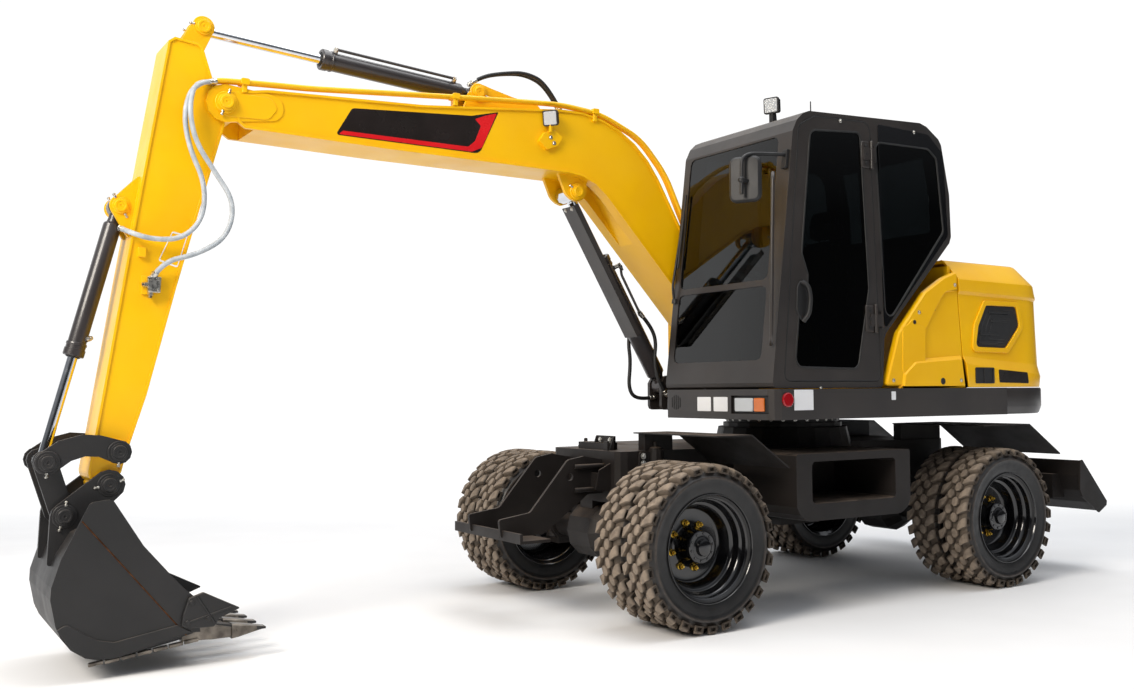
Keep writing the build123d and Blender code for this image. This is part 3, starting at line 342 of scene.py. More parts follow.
# The slot of each finish.
SLOTS = {finish: slot for slot, finishes in {
    "yellow_paint": (yellow_enamel,),
    "charcoal_paint": (charcoal_enamel, chassis_enamel, bucket_enamel, barrel_enamel, label_film),
    "black_gloss_paint": (rim_enamel,),
    "chrome": (hard_chrome,),
    "seat_cloth": (cloth,),
    "tyre": (tread, sidewall),
    "glass": (lamp_lens, orange_lens, red_lens),
    "black_plastic": (black_plastic, dark_film, red_film, seal_rubber, grey_braid),
    "cast_metal": (zinc_plate, brassy_zinc, weld_steel, worn_steel),
}.items() for finish in finishes}


# ---- shapes: (points, faces), points in millimetres --------------------------------------------
def grid(points, wrap_rows=False, wrap_columns=False):
    """A surface through rows and columns of points. Any axes before those two repeat the surface."""
    rows, columns = points.shape[-3:-1]
    index = np.arange(rows * columns).reshape(rows, columns)
    if wrap_rows:
        index = np.concatenate([index, index[:1]], 0)
    if wrap_columns:
        index = np.concatenate([index, index[:, :1]], 1)
    quads = np.stack([index[:-1, :-1], index[1:, :-1], index[1:, 1:], index[:-1, 1:]], -1).reshape(-1, 4)
    copies = np.arange(points[..., 0].size // (rows * columns)) * rows * columns
    return points.reshape(-1, 3), (quads[None] + copies[:, None, None]).reshape(-1, 4).tolist()


def closed(rings):
    """A body through rings of points, with its first and last rings capped."""
    rings = np.asarray(rings, float)
    points, faces = grid(rings, wrap_columns=True)
    count, last = rings.shape[1], (len(rings) - 1) * rings.shape[1]
    return points, faces + [list(range(count))[::-1], list(range(last, last + count))]


def joined(shapes):
    """Several shapes as one."""
    starts = np.cumsum([0] + [len(points) for points, _ in shapes[:-1]])
    faces = [[corner + int(start) for corner in face] for (_, rows), start in zip(shapes, starts)
             for face in rows]
    return np.concatenate([points for points, _ in shapes]), faces


def moved(shape, offsets):
    """A shape repeated at each offset."""
    points, faces = shape
    offsets = np.atleast_2d(np.asarray(offsets, float))
    size = len(points)
    copies = [[corner + size * i for corner in face] for i in range(len(offsets)) for face in faces]
    return (points[None] + offsets[:, None]).reshape(-1, 3), copies


def turned(shape, axis, degrees, centre):
    """A shape turned about an axis through a centre."""
    turn = np.array(Matrix.Rotation(math.radians(degrees), 3, Vector(axis)))
    return (shape[0] - centre) @ turn.T + centre, shape[1]


def square_to(axis):
    """The unit axis, and two unit directions square to it and to each other."""
    axis = np.asarray(axis, float) / np.linalg.norm(axis)
    helper = (1.0, 0.0, 0.0) if abs(axis[2]) > 0.9 else (0.0, 0.0, 1.0)
    first = np.cross(helper, axis)
    first /= np.linalg.norm(first)
    return axis, first, np.cross(axis, first)


def lathe(profile, centre, axis=(0, 1, 0), sides=48):
    """A profile of (distance along, radius) turned about an axis through a centre:
    centre + along * axis + radius * (cos a * first + sin a * second), for a round the circle."""
    along, radius = np.asarray(profile, float).T
    axis, first, second = square_to(axis)
    angle = 2 * np.pi * (np.arange(sides) + 0.5) / sides
    ring = np.cos(angle)[:, None] * first + np.sin(angle)[:, None] * second
    return grid(np.asarray(centre, float) + along[:, None, None] * axis + radius[:, None, None] * ring[None],
                wrap_columns=True)


def rounded(rows, steps=6):
    """A closed outline of (across, up, corner radius), each corner swept by an arc about its centre:
    the point where the two edges touch the arc, turned by equal steps through the corner's turn."""
    rows = np.asarray(rows, float)
    corner, radius = rows[:, :2], np.maximum(rows[:, 2], 0.01)
    back, on = np.roll(corner, 1, 0) - corner, np.roll(corner, -1, 0) - corner
    back /= np.linalg.norm(back, axis=1, keepdims=True)
    on /= np.linalg.norm(on, axis=1, keepdims=True)
    inside = np.arccos(np.clip((back * on).sum(1), -1, 1))
    middle = (back + on) / np.maximum(np.linalg.norm(back + on, axis=1, keepdims=True), 1e-6)
    centre = corner + middle * (radius / np.sin(inside / 2))[:, None]
    start = corner + back * (radius / np.tan(inside / 2))[:, None] - centre
    way = -np.sign(back[:, 0] * on[:, 1] - back[:, 1] * on[:, 0])
    angle = (way * (np.pi - inside))[:, None] * np.linspace(0, 1, steps)
    cos, sin = np.cos(angle), np.sin(angle)
    x = centre[:, :1] + cos * start[:, :1] - sin * start[:, 1:]
    z = centre[:, 1:] + sin * start[:, :1] + cos * start[:, 1:]
    return np.stack([x, z], -1).reshape(-1, 2)


PLANES = {"xz": (0, 2, 1), "xy": (0, 1, 2), "yz": (1, 2, 0)}


def slab(rows, low, high, plane="xz", steps=6, inset=0.0):
    """An outline made thick across its plane. inset chamfers its high side by that many millimetres."""
    flat = rounded(rows, steps)
    levels = [(low, 0.0), (high, 0.0)]
    if inset:
        levels = [(low, 0.0), (high - math.copysign(inset, high - low), 0.0), (high, inset)]
    across, up, deep = PLANES[plane]
    edge = np.roll(flat, -1, 0) - np.roll(flat, 1, 0)
    area = (flat[:, 0] * np.roll(flat[:, 1], -1) - np.roll(flat[:, 0], -1) * flat[:, 1]).sum()
    inward = np.stack([-edge[:, 1], edge[:, 0]], -1) * np.sign(area)
    inward /= np.maximum(np.linalg.norm(inward, axis=1, keepdims=True), 1e-9)
    points = np.zeros((len(levels), len(flat), 3))
    for row, (level, drawn_in) in enumerate(levels):
        points[row, :, across], points[row, :, up] = (flat + inward * drawn_in).T
        points[row, :, deep] = level
    return closed(points)


def oblong(across, up, radius):
    """The outline of an oblong, from its (low, high) pairs."""
    return [(across[0], up[0], radius), (across[0], up[1], radius), (across[1], up[1], radius),
            (across[1], up[0], radius)]


def box(x, y, z, ease):
    """A box from three (low, high) pairs, with its upright edges rounded."""
    rows = [(x[0], y[0], ease), (x[1], y[0], ease), (x[1], y[1], ease), (x[0], y[1], ease)]
    return slab(rows, *z, plane="xy", steps=4)


def bent(points, reach, steps=5):
    """A line with its inner corners rounded: (1-t)^2 start + 2t(1-t) corner + t^2 end, where start and
    end stand a reach from the corner."""
    points = np.asarray(points, float)
    corner = points[1:-1]
    back, on = points[:-2] - corner, points[2:] - corner
    lengths = [np.linalg.norm(way, axis=1, keepdims=True) for way in (back, on)]
    start = corner + back / lengths[0] * np.minimum(reach, lengths[0] * 0.48)
    end = corner + on / lengths[1] * np.minimum(reach, lengths[1] * 0.48)
    t = np.linspace(0, 1, steps)[:, None]
    curves = ((1 - t) ** 2 * start[:, None] + 2 * t * (1 - t) * corner[:, None] + t ** 2 * end[:, None])
    return np.concatenate([points[:1], curves.reshape(-1, 3), points[-1:]])


def pipe(path, radius, sides=14, across=(0, 1, 0)):
    """A closed round tube along a path: path + radius * (cos a * first + sin a * second), where first is
    square to the path and to a fixed direction across it."""
    path = np.asarray(path, float)
    way = np.gradient(path, axis=0)
    way /= np.linalg.norm(way, axis=1, keepdims=True)
    first = np.cross(across, way)
    first /= np.linalg.norm(first, axis=1, keepdims=True)
    second = np.cross(way, first)
    angle = 2 * np.pi * np.arange(sides) / sides
    ring = np.cos(angle)[None, :, None] * first[:, None] + np.sin(angle)[None, :, None] * second[:, None]
    radii = np.broadcast_to(np.asarray(radius, float), len(path))[:, None, None]
    tube = path[:, None] + radii * ring
    ends = [np.repeat(path[i:i + 1, None], sides, 1) for i in (0, -1)]
    return grid(np.concatenate([ends[0], tube, ends[1]]), wrap_columns=True)


def ring_plate(outer, inner, low, high):
    """An upright plate between two outlines that have as many corners, made thick along Y."""
    across, up, deep = PLANES["xz"]
    loops = [rounded(outer), rounded(outer), rounded(inner), rounded(inner)]
    points = np.zeros((4, len(loops[0]), 3))
    for row, (flat, level) in enumerate(zip(loops, (low, high, high, low))):
        points[row, :, across], points[row, :, up] = flat.T
        points[row, :, deep] = level
    return grid(points, wrap_rows=True, wrap_columns=True)


def bars(rows):
    """A closed body through chamfered rectangles across X. Rows are (x, y, half width, low, high)."""
    ring = []
    for x, y, half, low, high in rows:
        c = min(half, (high - low) / 2) * 0.25
        ring.append([(x, y - half + c, low), (x, y + half - c, low), (x, y + half, low + c),
                     (x, y + half, high - c), (x, y + half - c, high), (x, y - half + c, high),
                     (x, y - half, high - c), (x, y - half, low + c)])
    return closed(ring)


SIDE_STEPS, CORNER_STEPS = 9, 14


def round_tail(front, rear, half, radius):
    """The plan of a round-cornered tail, left front to right front: places, and the way out at each."""
    angle = np.radians(np.linspace(-90, 0, CORNER_STEPS))
    way = np.stack([np.cos(angle), np.sin(angle)], -1)
    corner = np.array([rear - radius, radius - half]) + radius * way
    line = np.linspace(front, rear - radius, SIDE_STEPS + 1)[:-1]
    left = np.stack([line, np.full(SIDE_STEPS, -half)], -1)
    place = np.concatenate([left, corner])
    out = np.concatenate([np.tile([0.0, -1.0], (SIDE_STEPS, 1)), way])
    flip = np.array([1, -1])
    return np.concatenate([place, place[::-1] * flip]), np.concatenate([out, out[::-1] * flip])


def tail_skin(plan, rows, thick):
    """A wall that follows a plan: place + off * way out, at each height. Rows give heights and offsets for
    each place, as (heights, offsets) arrays. The wall is closed by its own inner side and its two ends."""
    place, out = plan
    skin = []
    for inner in (0, thick):
        levels = [np.column_stack([place + out * (off - inner)[:, None], high]) for high, off in rows]
        skin += levels if inner == 0 else levels[::-1]
    points, faces = grid(np.array(skin), wrap_rows=True)
    count, around = len(place), len(skin)
    ends = [[row * count + column for row in range(around)] for column in (0, count - 1)]
    return points, faces + [ends[0], ends[1][::-1]]


def tail_block(plan, rows):
    """A solid tail: the plan's outline at each height, place + off * way out, capped above and below."""
    place, out = plan
    return closed([np.column_stack([place + out * off[:, None], high]) for high, off in rows])


def bolt(at, axis, size):
    """A hexagon bolt head with a chamfered top and a washer under it."""
    height = size * 0.4
    base = [(0, 0), (0, size * 0.68), (size * 0.1, size * 0.68), (size * 0.1, 0)]
    head = [(0, 0), (0, size * 0.5), (height * 0.8, size * 0.5), (height, size * 0.42), (height, 0)]
    return joined([lathe(head, at, axis, sides=6), lathe(base, at, axis, sides=16)])


def piece(name, shapes, finish, body, stands_for=(), slot=None, bevel=0.0, sharp=32.0):
    """Puts shapes in millimetres into one closed mesh at the origin, finishes it and lets it ride. It looks
    up the slot that SLOTS gives for its finish, unless the call names another, but does not use it."""
    slot = slot or SLOTS[finish]
    points, faces = joined(shapes)
    mesh = bpy.data.meshes.new(name)
    mesh.from_pydata((points * MM).tolist(), [], faces)
    work = bmesh.new()
    work.from_mesh(mesh)
    bmesh.ops.remove_doubles(work, verts=work.verts, dist=WELD_WITHIN)
    bmesh.ops.recalc_face_normals(work, faces=work.faces)
    work.to_mesh(mesh)
    work.free()
    mesh.shade_smooth()
    mesh.set_sharp_from_angle(angle=math.radians(sharp))
    mesh.materials.append(finish)
    thing = bpy.data.objects.new(name, mesh)
    bpy.context.scene.collection.objects.link(thing)
    if bevel:
        edge = thing.modifiers.new("edges", "BEVEL")
        edge.width = bevel * MM
        edge.segments = 2
        edge.limit_method = "ANGLE"
        edge.angle_limit = math.radians(BEVEL_ANGLE)
        edge.harden_normals = True
    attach(thing, body)
    if stands_for:
        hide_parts(*stands_for)
    return thing


# ---- finishes of the CAD nodes -----------------------------------------------------------------
FINISHES = {
    chassis_enamel: ("chassis_frame", "fenders", "front_bracket", "step_box_left", "step_box_right", "blade",
                     "slew_ring", "front_axle", "rear_axle", "driveline", "knuckle_left", "knuckle_right",
                     "track_rod", "engine"),
    charcoal_enamel: ("platform", "cab", "door"),
    yellow_enamel: ("bonnet", "side_door", "side_housing", "boom", "arm"),
    bucket_enamel: ("bucket", "idler_links", "power_link"),
    barrel_enamel: ("boom_cylinder_barrel", "arm_cylinder_barrel", "bucket_cylinder_barrel",
                    "blade_cylinder_barrels"),
    hard_chrome: ("boom_cylinder_rod", "arm_cylinder_rod", "bucket_cylinder_rod", "blade_cylinder_rods"),
    glass: ("cab_glass", "door_glass"),
    black_plastic: ("console",),
    sidewall: ("tyres_front_left", "tyres_front_right", "tyres_rear_left", "tyres_rear_right"),
    rim_enamel: ("rims_front_left", "rims_front_right", "rims_rear_left", "rims_rear_right"),
}
for finish, names in FINISHES.items():
    for name in names:
        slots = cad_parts[name].material_slots
        if not slots:
            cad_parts[name].data.materials.append(finish)
        for place in slots:
            place.link = "OBJECT"
            place.material = finish


# ---- tyres -------------------------------------------------------------------------------------
LUGS = 28
TREAD_R = 487.0
# The carcass from one bead over the crown to the other, as (distance from the tyre's middle, radius).
HALF_CARCASS = [(84, 288), (96, 298), (103, 312), (108, 330), (112, 352), (115, 376), (117, 394),
                (120.5, 399), (121.5, 404), (121.5, 410), (119, 415), (112, 419), (107, 430), (100, 441),
                (88, 449), (70, 454), (35, 457)]
CARCASS = [(-y, r) for y, r in HALF_CARCASS] + [(0, 458)] + HALF_CARCASS[::-1]
INSIDE = [(80, 284), (60, 310), (-60, 310), (-80, 284)]
# Radii: the foot and the height of a lug, over which the tread goes from painted shade at the foot to dusty
# grey-brown with a painted highlight at the top, and the edge of the tread's rubber.
LUG_FOOT, LUG_HEIGHT, TREAD_EDGE = 466, 14, 436
# Dust on the side wall at some radii: most on the moulded rib, a little towards the tread.
WALL_DUST = ((396, 402, 411, 416, 440), (0, 0.8, 0.8, 0.1, 0.5))
# A shoulder lug and a centre block, as rows of (round the tyre, across it, half width, top radius).
SHOULDER_LUG = [(-50, 47, 9, 484), (-42, 55, 18, 486.5), (-28, 68, 25, 487), (-14, 84, 29, 486),
                (-4, 99, 31, 484), (0, 111, 31, 479), (1, 121, 29, 470)]
CENTRE_BLOCK = [(-31, 24, 9, 487), (-15, 24, 22, 487.5), (15, 24, 22, 487.5), (31, 24, 9, 487)]


def tread_blocks(rows, base, shift, along_tyre, hollow):
    """Blocks of one kind, once round the tyre. Each row of the table is a section with a chamfered top:
    angle = (way round + offset) / tread radius; across and radius come from the table."""
    rows = np.asarray(rows, float)
    s, y, half, top = rows.T
    side = np.array([-1.14, -1.0, -0.92, 0.92, 1.0, 1.14])
    lift = np.array([0.0, -2.5, 0.0, 0.0, -2.5, 0.0])
    radius = np.where(np.abs(side) > 1.1, base, top[:, None] + lift)
    if along_tyre:
        around, across = np.repeat(s[:, None], 6, 1), y[:, None] + side * half[:, None]
    else:
        around, across = s[:, None] + side * half[:, None], np.repeat(y[:, None], 6, 1)
    if hollow:
        # The outer end is a frame round a square hollow.
        middle = np.array([around[-1].mean(), radius[-1].mean()])
        for scale, depth in ((0.60, 0.0), (0.50, 16.0)):
            around = np.vstack([around, middle[0] + (around[len(rows) - 1] - middle[0]) * scale])
            radius = np.vstack([radius, middle[1] + (radius[len(rows) - 1] - middle[1]) * scale])
            across = np.vstack([across, across[len(rows) - 1] - depth])
    shapes = []
    for way in (1, -1):
        turn = (np.arange(LUGS) + shift * way) * 2 * np.pi / LUGS
        angle = turn[:, None, None] + way * around[None] / TREAD_R
        points = np.stack(np.broadcast_arrays(radius * np.cos(angle), way * across[None],
                                              radius * np.sin(angle)), -1)
        skin, faces = grid(points, wrap_columns=True)
        size = points.shape[1] * 6
        first, last = np.arange(6), np.arange(size - 6, size)
        caps = [(np.array(end) + size * i).tolist() for i in range(LUGS) for end in (first[::-1], last)]
        shapes.append((skin, faces + caps))
    return joined(shapes)


blocks = joined([tread_blocks(SHOULDER_LUG, TREAD_EDGE, 0.0, False, True),
                 tread_blocks(CENTRE_BLOCK, 458, 0.25, True, False)])
wall = lathe(CARCASS + INSIDE + CARCASS[:1], (0, 0, 0), sides=96)


def tyre_pair(body, centre_x, sign, corner):
    """The two tyres of a twin wheel: their walls, and the tread blocks that stand on them."""
    middles = [(centre_x, sign * y, AXLE_Z) for y in TYRE_YS]
    carcass = piece(f"{corner}_carcass", [moved(wall, middles)], sidewall, body, sharp=40)
    lugs = piece(f"{corner}_tread", [moved(blocks, middles)], tread, body, [f"tyres_{corner}"], sharp=18)
    for thing in (carcass, lugs):
        count = len(thing.data.vertices)
        place = np.empty(count * 3, np.float32)
        thing.data.vertices.foreach_get("co", place)
        place = place.reshape(-1, 3) / MM
        radius = np.hypot(place[:, 0] - centre_x, place[:, 2] - AXLE_Z)
        # On the tread this height gives dust with a painted highlight on the lug tops and painted shade at
        # their feet.
        height = np.clip((radius - LUG_FOOT) / LUG_HEIGHT, 0.12, 1)
        if thing is carcass:
            height = np.interp(radius, *WALL_DUST)
        stored = thing.data.attributes.new("lug_height", "FLOAT", "POINT").data
        stored.foreach_set("value", height.astype(np.float32))
    carcass.data.materials.append(tread)
    share = np.empty(len(carcass.data.polygons) * 3, np.float32)
    carcass.data.polygons.foreach_get("center", share)
    share = share.reshape(-1, 3) / MM
    crown = np.hypot(share[:, 0] - centre_x, share[:, 2] - AXLE_Z) > TREAD_EDGE
    carcass.data.polygons.foreach_set("material_index", crown.astype(np.int32))


# ---- rims, hubs and nuts -----------------------------------------------------------------------
# A twin rim's whole skin, outer cap to inner cap, as (distance from the machine's middle, radius).
RIM_SKIN = [(1074, 0), (1074, 38), (1070, 46), (1060, 50), (1048, 51), (1046, 56), (1043, 62), (1043, 68),
            (1045, 70), (1045, 90), (1041, 95), (1000, 98), (955, 101), (934, 112), (927, 120), (925, 128),
            (925, 206), (927, 214), (936, 222), (950, 229), (966, 236), (980, 240), (998, 243), (1003, 250),
            (1004, 257), (1008, 262), (1016, 265), (1044, 267), (1056, 271), (1064, 279), (1067, 285),
            (1073, 287), (1083, 287), (1089, 291), (1092, 297), (1097, 300), (1106, 300), (1113, 303),
            (1119, 306), (1125, 307), (1129, 310), (1129, 314), (1124, 316), (1116, 314), (1111, 306),
            (1107, 292), (1098, 284), (1000, 282), (925, 282), (905, 284), (900, 296), (896, 306), (891, 310),
            (886, 304), (884, 284), (878, 284), (876, 304), (871, 310), (866, 306), (862, 296), (858, 284),
            (760, 282), (664, 284), (655, 296), (650, 310), (644, 315), (638, 312), (638, 307), (646, 300),
            (655, 286), (668, 272), (684, 267), (714, 267), (720, 262), (836, 260), (864, 254), (872, 242),
            (874, 232), (874, 160), (800, 156), (720, 152), (660, 150), (646, 142), (640, 128), (640, 0)]


# Circles of nuts and bolts, as (count, radius, distance from the machine's middle).
NUT_CIRCLE = (8, 137, 925)
HUB_CIRCLE = (10, 80, 1044)


def rim(corner, body, centre_x, sign):
    """Rims, disc and hub, with a ring of nuts on the disc and a ring of bolts on the hub."""
    skin = [(sign * y, r) for y, r in RIM_SKIN]
    piece(f"{corner}_rims", [lathe(skin, (centre_x, 0, AXLE_Z), sides=72)], rim_enamel, body,
          [f"rims_{corner}"], sharp=38)

    def on_circle(count, radius, y):
        angle = 2 * np.pi * (np.arange(count) + 0.3) / count
        ring = [centre_x + radius * np.cos(angle), np.full(count, sign * y), AXLE_Z + radius * np.sin(angle)]
        return np.stack(ring, -1)

    out = (0, sign, 0)
    stud = lathe([(0, 0), (0, 9), (34, 9), (37, 6), (37, 0)], (0, 0, 0), out, sides=10)
    nut = lathe([(0, 0), (0, 22), (5, 22), (7, 17), (22, 17), (25, 14), (25, 0)], (0, 0, 0), out, sides=6)
    piece(f"{corner}_wheel_nuts", [moved(joined([nut, stud]), on_circle(*NUT_CIRCLE))], brassy_zinc, body)
    piece(f"{corner}_hub_bolts", [moved(bolt((0, 0, 0), out, 15), on_circle(*HUB_CIRCLE))], rim_enamel, body)


CORNERS = [("front_left", FRONT_AXLE_X, -1), ("front_right", FRONT_AXLE_X, 1),
           ("rear_left", REAR_AXLE_X, -1), ("rear_right", REAR_AXLE_X, 1)]
for corner, centre_x, sign in CORNERS:
    tyre_pair(f"wheel_{corner}", centre_x, sign, corner)
    rim(corner, f"wheel_{corner}", centre_x, sign)


# ---- pins: bosses, caps and grease nipples -----------------------------------------------------
def pin_cap(at, radius, y, out, length, boss):
    """A turned pin end: a boss behind it, a collar, a stepped face and a centre mark, looking out along Y."""
    profile = [(-boss, 0), (-boss, radius + 14), (-3, radius + 14), (0, radius + 11), (0, radius),
               (length * 0.55, radius), (length * 0.62, radius * 0.95), (length * 0.62, radius * 0.80),
               (length, radius * 0.78), (length + 3, radius * 0.72), (length + 3, radius * 0.50),
               (length + 1, radius * 0.48), (length + 1, radius * 0.16), (length - 2, radius * 0.12),
               (length - 2, 0)]
    return lathe(profile, (at[0], y, at[1]), (0, out, 0), sides=40)


def nipple(at, angle, radius, y):
    """A grease nipple that stands out from a boss, at an angle from +X towards +Z."""
    way = np.array([math.cos(math.radians(angle)), 0, math.sin(math.radians(angle))])
    profile = [(0, 0), (0, 9), (8, 9), (9, 6), (15, 6), (18, 9), (23, 9), (27, 5), (27, 0)]
    return lathe(profile, np.array([at[0], y, at[1]]) + way * radius, way, sides=12)


# Each pin as (name, place, cap radius, distance from BOOM_Y, length, boss, nipple angles, body, finish).
PINS = [
    ("boom_nose", ARM_PIN, 47, BOOM_SIDE + 27, 18, 26, (75, -110), "boom", yellow_enamel),
    ("boom_belly", BOOM_CYL_EYE, 44, 120, 14, 14, (150,), "boom", yellow_enamel),
    ("arm_cylinder_foot", ARM_CYL_FOOT, 44, 92, 14, 14, (-20,), "boom", yellow_enamel),
    ("arm_head", ARM_CYL_EYE, 46, 76, 16, 4, (170,), "arm", yellow_enamel),
    ("bucket_cylinder_foot", BUCKET_CYL_FOOT, 42, 76, 16, 4, (120, -60), "arm", yellow_enamel),
    ("idler", IDLER_PIN, 45, ARM_SIDE + 76, 16, 5, (-95,), "arm", bucket_enamel),
    ("bucket_hinge", BUCKET_PIN, 46, ARM_SIDE + 42, 16, 4, (20, -170), "arm", bucket_enamel),
    ("link", LINK_PIN, 45, 222, 16, 8, (-95,), "idler_links", bucket_enamel),
    ("bucket_link", BUCKET_LINK_PIN, 46, 190, 16, 8, (-110, 85), "bucket", bucket_enamel),
]
for name, at, radius, reach, length, boss, angles, body, finish in PINS:
    caps = [pin_cap(at, radius, BOOM_Y + way * reach, way, length, boss) for way in (-1, 1)]
    piece(f"{name}_pin_caps", caps, finish, body)
    nipples = [nipple(at, angle, radius * 1.1, BOOM_Y + way * (reach - 4)) for angle in angles
               for way in (-1, 1)]
    piece(f"{name}_grease_nipples", nipples, zinc_plate, body)

# ---- cylinders ---------------------------------------------------------------------------------
def on_line(foot, eye, along, front=0.0, y=BOOM_Y):
    """A point at a distance from foot towards eye, and off that line towards its front."""
    run = np.subtract(eye, foot) / math.dist(foot, eye)
    x, z = np.asarray(foot) + run * along + np.array([-run[1], run[0]]) * front
    return np.array([x, y, z])


# name: (foot, eye, tube radius, rod radius, tube length, half width of the foot, distances from BOOM_Y)
CYLINDERS = {
    "boom_cylinder": (BOOM_CYL_FOOT, BOOM_CYL_EYE, 62, 34, 1010, 46, (0,)),
    "arm_cylinder": (ARM_CYL_FOOT, ARM_CYL_EYE, 55, 30, 1010, 44, (0,)),
    "bucket_cylinder": (BUCKET_CYL_FOOT, LINK_PIN, 46, 26, 820, 36, (0,)),
    "blade_cylinder": (BLADE_CYL_FOOT, BLADE_CYL_EYE, 44, 22, 400, 30, (-290, 10)),
}
for name, (foot, eye, tube_r, rod_r, length, half, shifts) in CYLINDERS.items():
    tube = [(60, 0), (60, half * 0.8), (88, tube_r - 12), (94, tube_r - 4), (99, tube_r - 1),
            (103, tube_r - 1), (106, tube_r), (length - 74, tube_r), (length - 72, tube_r + 4),
            (length - 66, tube_r + 6), (length - 60, tube_r + 6), (length - 57, tube_r + 3),
            (length - 40, tube_r + 3), (length - 38, tube_r + 7), (length - 5, tube_r + 7),
            (length, tube_r + 3), (length, rod_r + 14), (length - 3, rod_r + 12), (length - 3, rod_r + 2),
            (length - 30, rod_r + 2), (length - 30, 0)]
    wiper = [(length - 4, rod_r + 1), (length - 4, rod_r + 12), (length + 4, rod_r + 10),
             (length + 8, rod_r + 3), (length + 5, rod_r + 1), (length - 4, rod_r + 1)]
    eye_end = [(-half, 30), (-half, 49), (4 - half, 53), (half - 4, 53), (half, 49), (half, 30), (-half, 30)]
    run = on_line(foot, eye, 1) - on_line(foot, eye, 0)
    starts = [on_line(foot, eye, 0, y=BOOM_Y + shift) for shift in shifts]
    neck = lathe([(20, 0), (20, half * 0.85), (62, half * 0.85), (62, 0)], (0, 0, 0), run, 24)
    node = "blade_cylinder_barrels" if len(shifts) > 1 else f"{name}_barrel"
    piece(f"{name}_tube",
          [moved(joined([lathe(tube, (0, 0, 0), run, 56), neck, lathe(eye_end, (0, 0, 0), sides=48)]),
                 starts)], barrel_enamel, node, [node])
    piece(f"{name}_wiper", [moved(lathe(wiper, (0, 0, 0), run, 40), starts)], seal_rubber, node)


def ports(name, foot, eye, tube_r, rows):
    """Hydraulic ports on a tube: a welded boss and a hexagon union each. Rows are (along, way out)."""
    boss = [(-8, 0), (-8, 15), (9, 15), (11, 12), (11, 0)]
    union = [(11, 0), (11, 14), (29, 14), (31, 10), (38, 10), (38, 0)]
    for kind, profile, sides, finish in (("bosses", boss, 24, barrel_enamel),
                                         ("unions", union, 6, zinc_plate)):
        piece(f"{name}_port_{kind}",
              [lathe(profile, on_line(foot, eye, along) + np.array(way) * tube_r, way, sides)
               for along, way in rows], finish, f"{name}_barrel")


ports("boom_cylinder", BOOM_CYL_FOOT, BOOM_CYL_EYE, 60, [(905, (0.74, -0.5, 0.44)), (470, (0, 1, 0))])
ports("arm_cylinder", ARM_CYL_FOOT, ARM_CYL_EYE, 53, [(150, (0, -0.6, 0.8)), (930, (0, -0.6, 0.8))])
ports("bucket_cylinder", BUCKET_CYL_FOOT, LINK_PIN, 44,
      [(130, (0.82, -0.5, 0.28)), (745, (0.82, -0.5, 0.28))])

# Steel lines that run back along the tubes from the rod-end ports.
line = [on_line(BOOM_CYL_FOOT, BOOM_CYL_EYE, along, front, y=y) for along, front, y in
        ((905, -84, 90), (885, -88, 86), (840, -68, 86), (600, -66, 86), (540, -66, 86))]
arm_line = [on_line(ARM_CYL_FOOT, ARM_CYL_EYE, along, -66, y=98) for along in (930, 915, 880, 300, 160)]
piece("boom_cylinder_line", [pipe(bent(line, 16), 9)], barrel_enamel, "boom_cylinder_barrel")
piece("arm_cylinder_line", [pipe(bent(arm_line, 16), 9)], barrel_enamel, "arm_cylinder_barrel")
piece("boom_line_unions",
      [lathe([(-22, 0), (-22, 13), (-2, 13), (-2, 16), (16, 16), (16, 11), (34, 11), (34, 0)], line[k],
             line[3] - line[4], 6) for k in (1, 4)], zinc_plate, "boom_cylinder_barrel")

# Rod guard: a bent plate on the rod's eye that slides down past the tube.
GUARD = (66, 1060)


def guard_rod():
    """The guard's face and its one return edge, each a thin plate along the rod: eye + along * run + off."""
    face = np.array([(80, 20), (84, 14), (84, 160), (78, 160), (78, 20), (44, 20), (44, 14)])
    return closed([[on_line(BOOM_CYL_EYE, BOOM_CYL_FOOT, along, -front, y=y) for front, y in face]
                   for along in GUARD])


piece("rod_guard", [guard_rod()], charcoal_enamel, "boom_cylinder_rod", bevel=2)
studs = [on_line(BOOM_CYL_EYE, BOOM_CYL_FOOT, 84, -84, y=y) for y in (52, 128)]
piece("rod_guard_bolts", [bolt(at, (-0.859, 0, -0.512), 20) for at in studs], zinc_plate, "boom_cylinder_rod")

# ---- hoses -------------------------------------------------------------------------------------
def route_line(name, route):
    """The smooth line that a route gives: a NURBS of order 3 with the route's points as its controls."""
    curve = bpy.data.curves.new(name, "CURVE")
    curve.dimensions = "3D"
    spline = curve.splines.new("NURBS")
    spline.points.add(len(route) - 1)
    spline.points.foreach_set("co", np.column_stack([route, np.ones(len(route))]).ravel())
    spline.order_u = 3
    spline.use_endpoint_u = True
    spline.resolution_u = 10
    holder = bpy.data.objects.new(name, curve)
    mesh = bpy.data.meshes.new_from_object(holder)
    points = np.empty(len(mesh.vertices) * 3)
    mesh.vertices.foreach_get("co", points)
    bpy.data.objects.remove(holder)
    return points.reshape(-1, 3)


def hose(name, route, diameter, finish, bodies):
    """A hydraulic hose that leaves one body and enters another, with a crimped union at each end."""
    route = np.array(route, float)
    points = route_line(name, route)
    radius = diameter / 2
    thing = piece(name, [pipe(points, radius)], finish, bodies[0])
    sleeve = [(0, 0), (0, radius + 1), (3, radius + 3), (24, radius + 3), (26, radius + 5), (40, radius + 5),
              (40, radius - 1), (50, radius - 1), (50, 0)]
    for end, body in ((0, bodies[0]), (-1, bodies[-1])):
        inward = points[3 if end == 0 else -4] - points[end]
        away = -inward / np.linalg.norm(inward)
        piece(f"{name}_union_{'a' if end == 0 else 'b'}", [lathe(sleeve, points[end] - away * 38, away, 12)],
              zinc_plate, body)
    if bodies[0] != bodies[-1]:
        thing.parent = None
        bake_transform(thing)


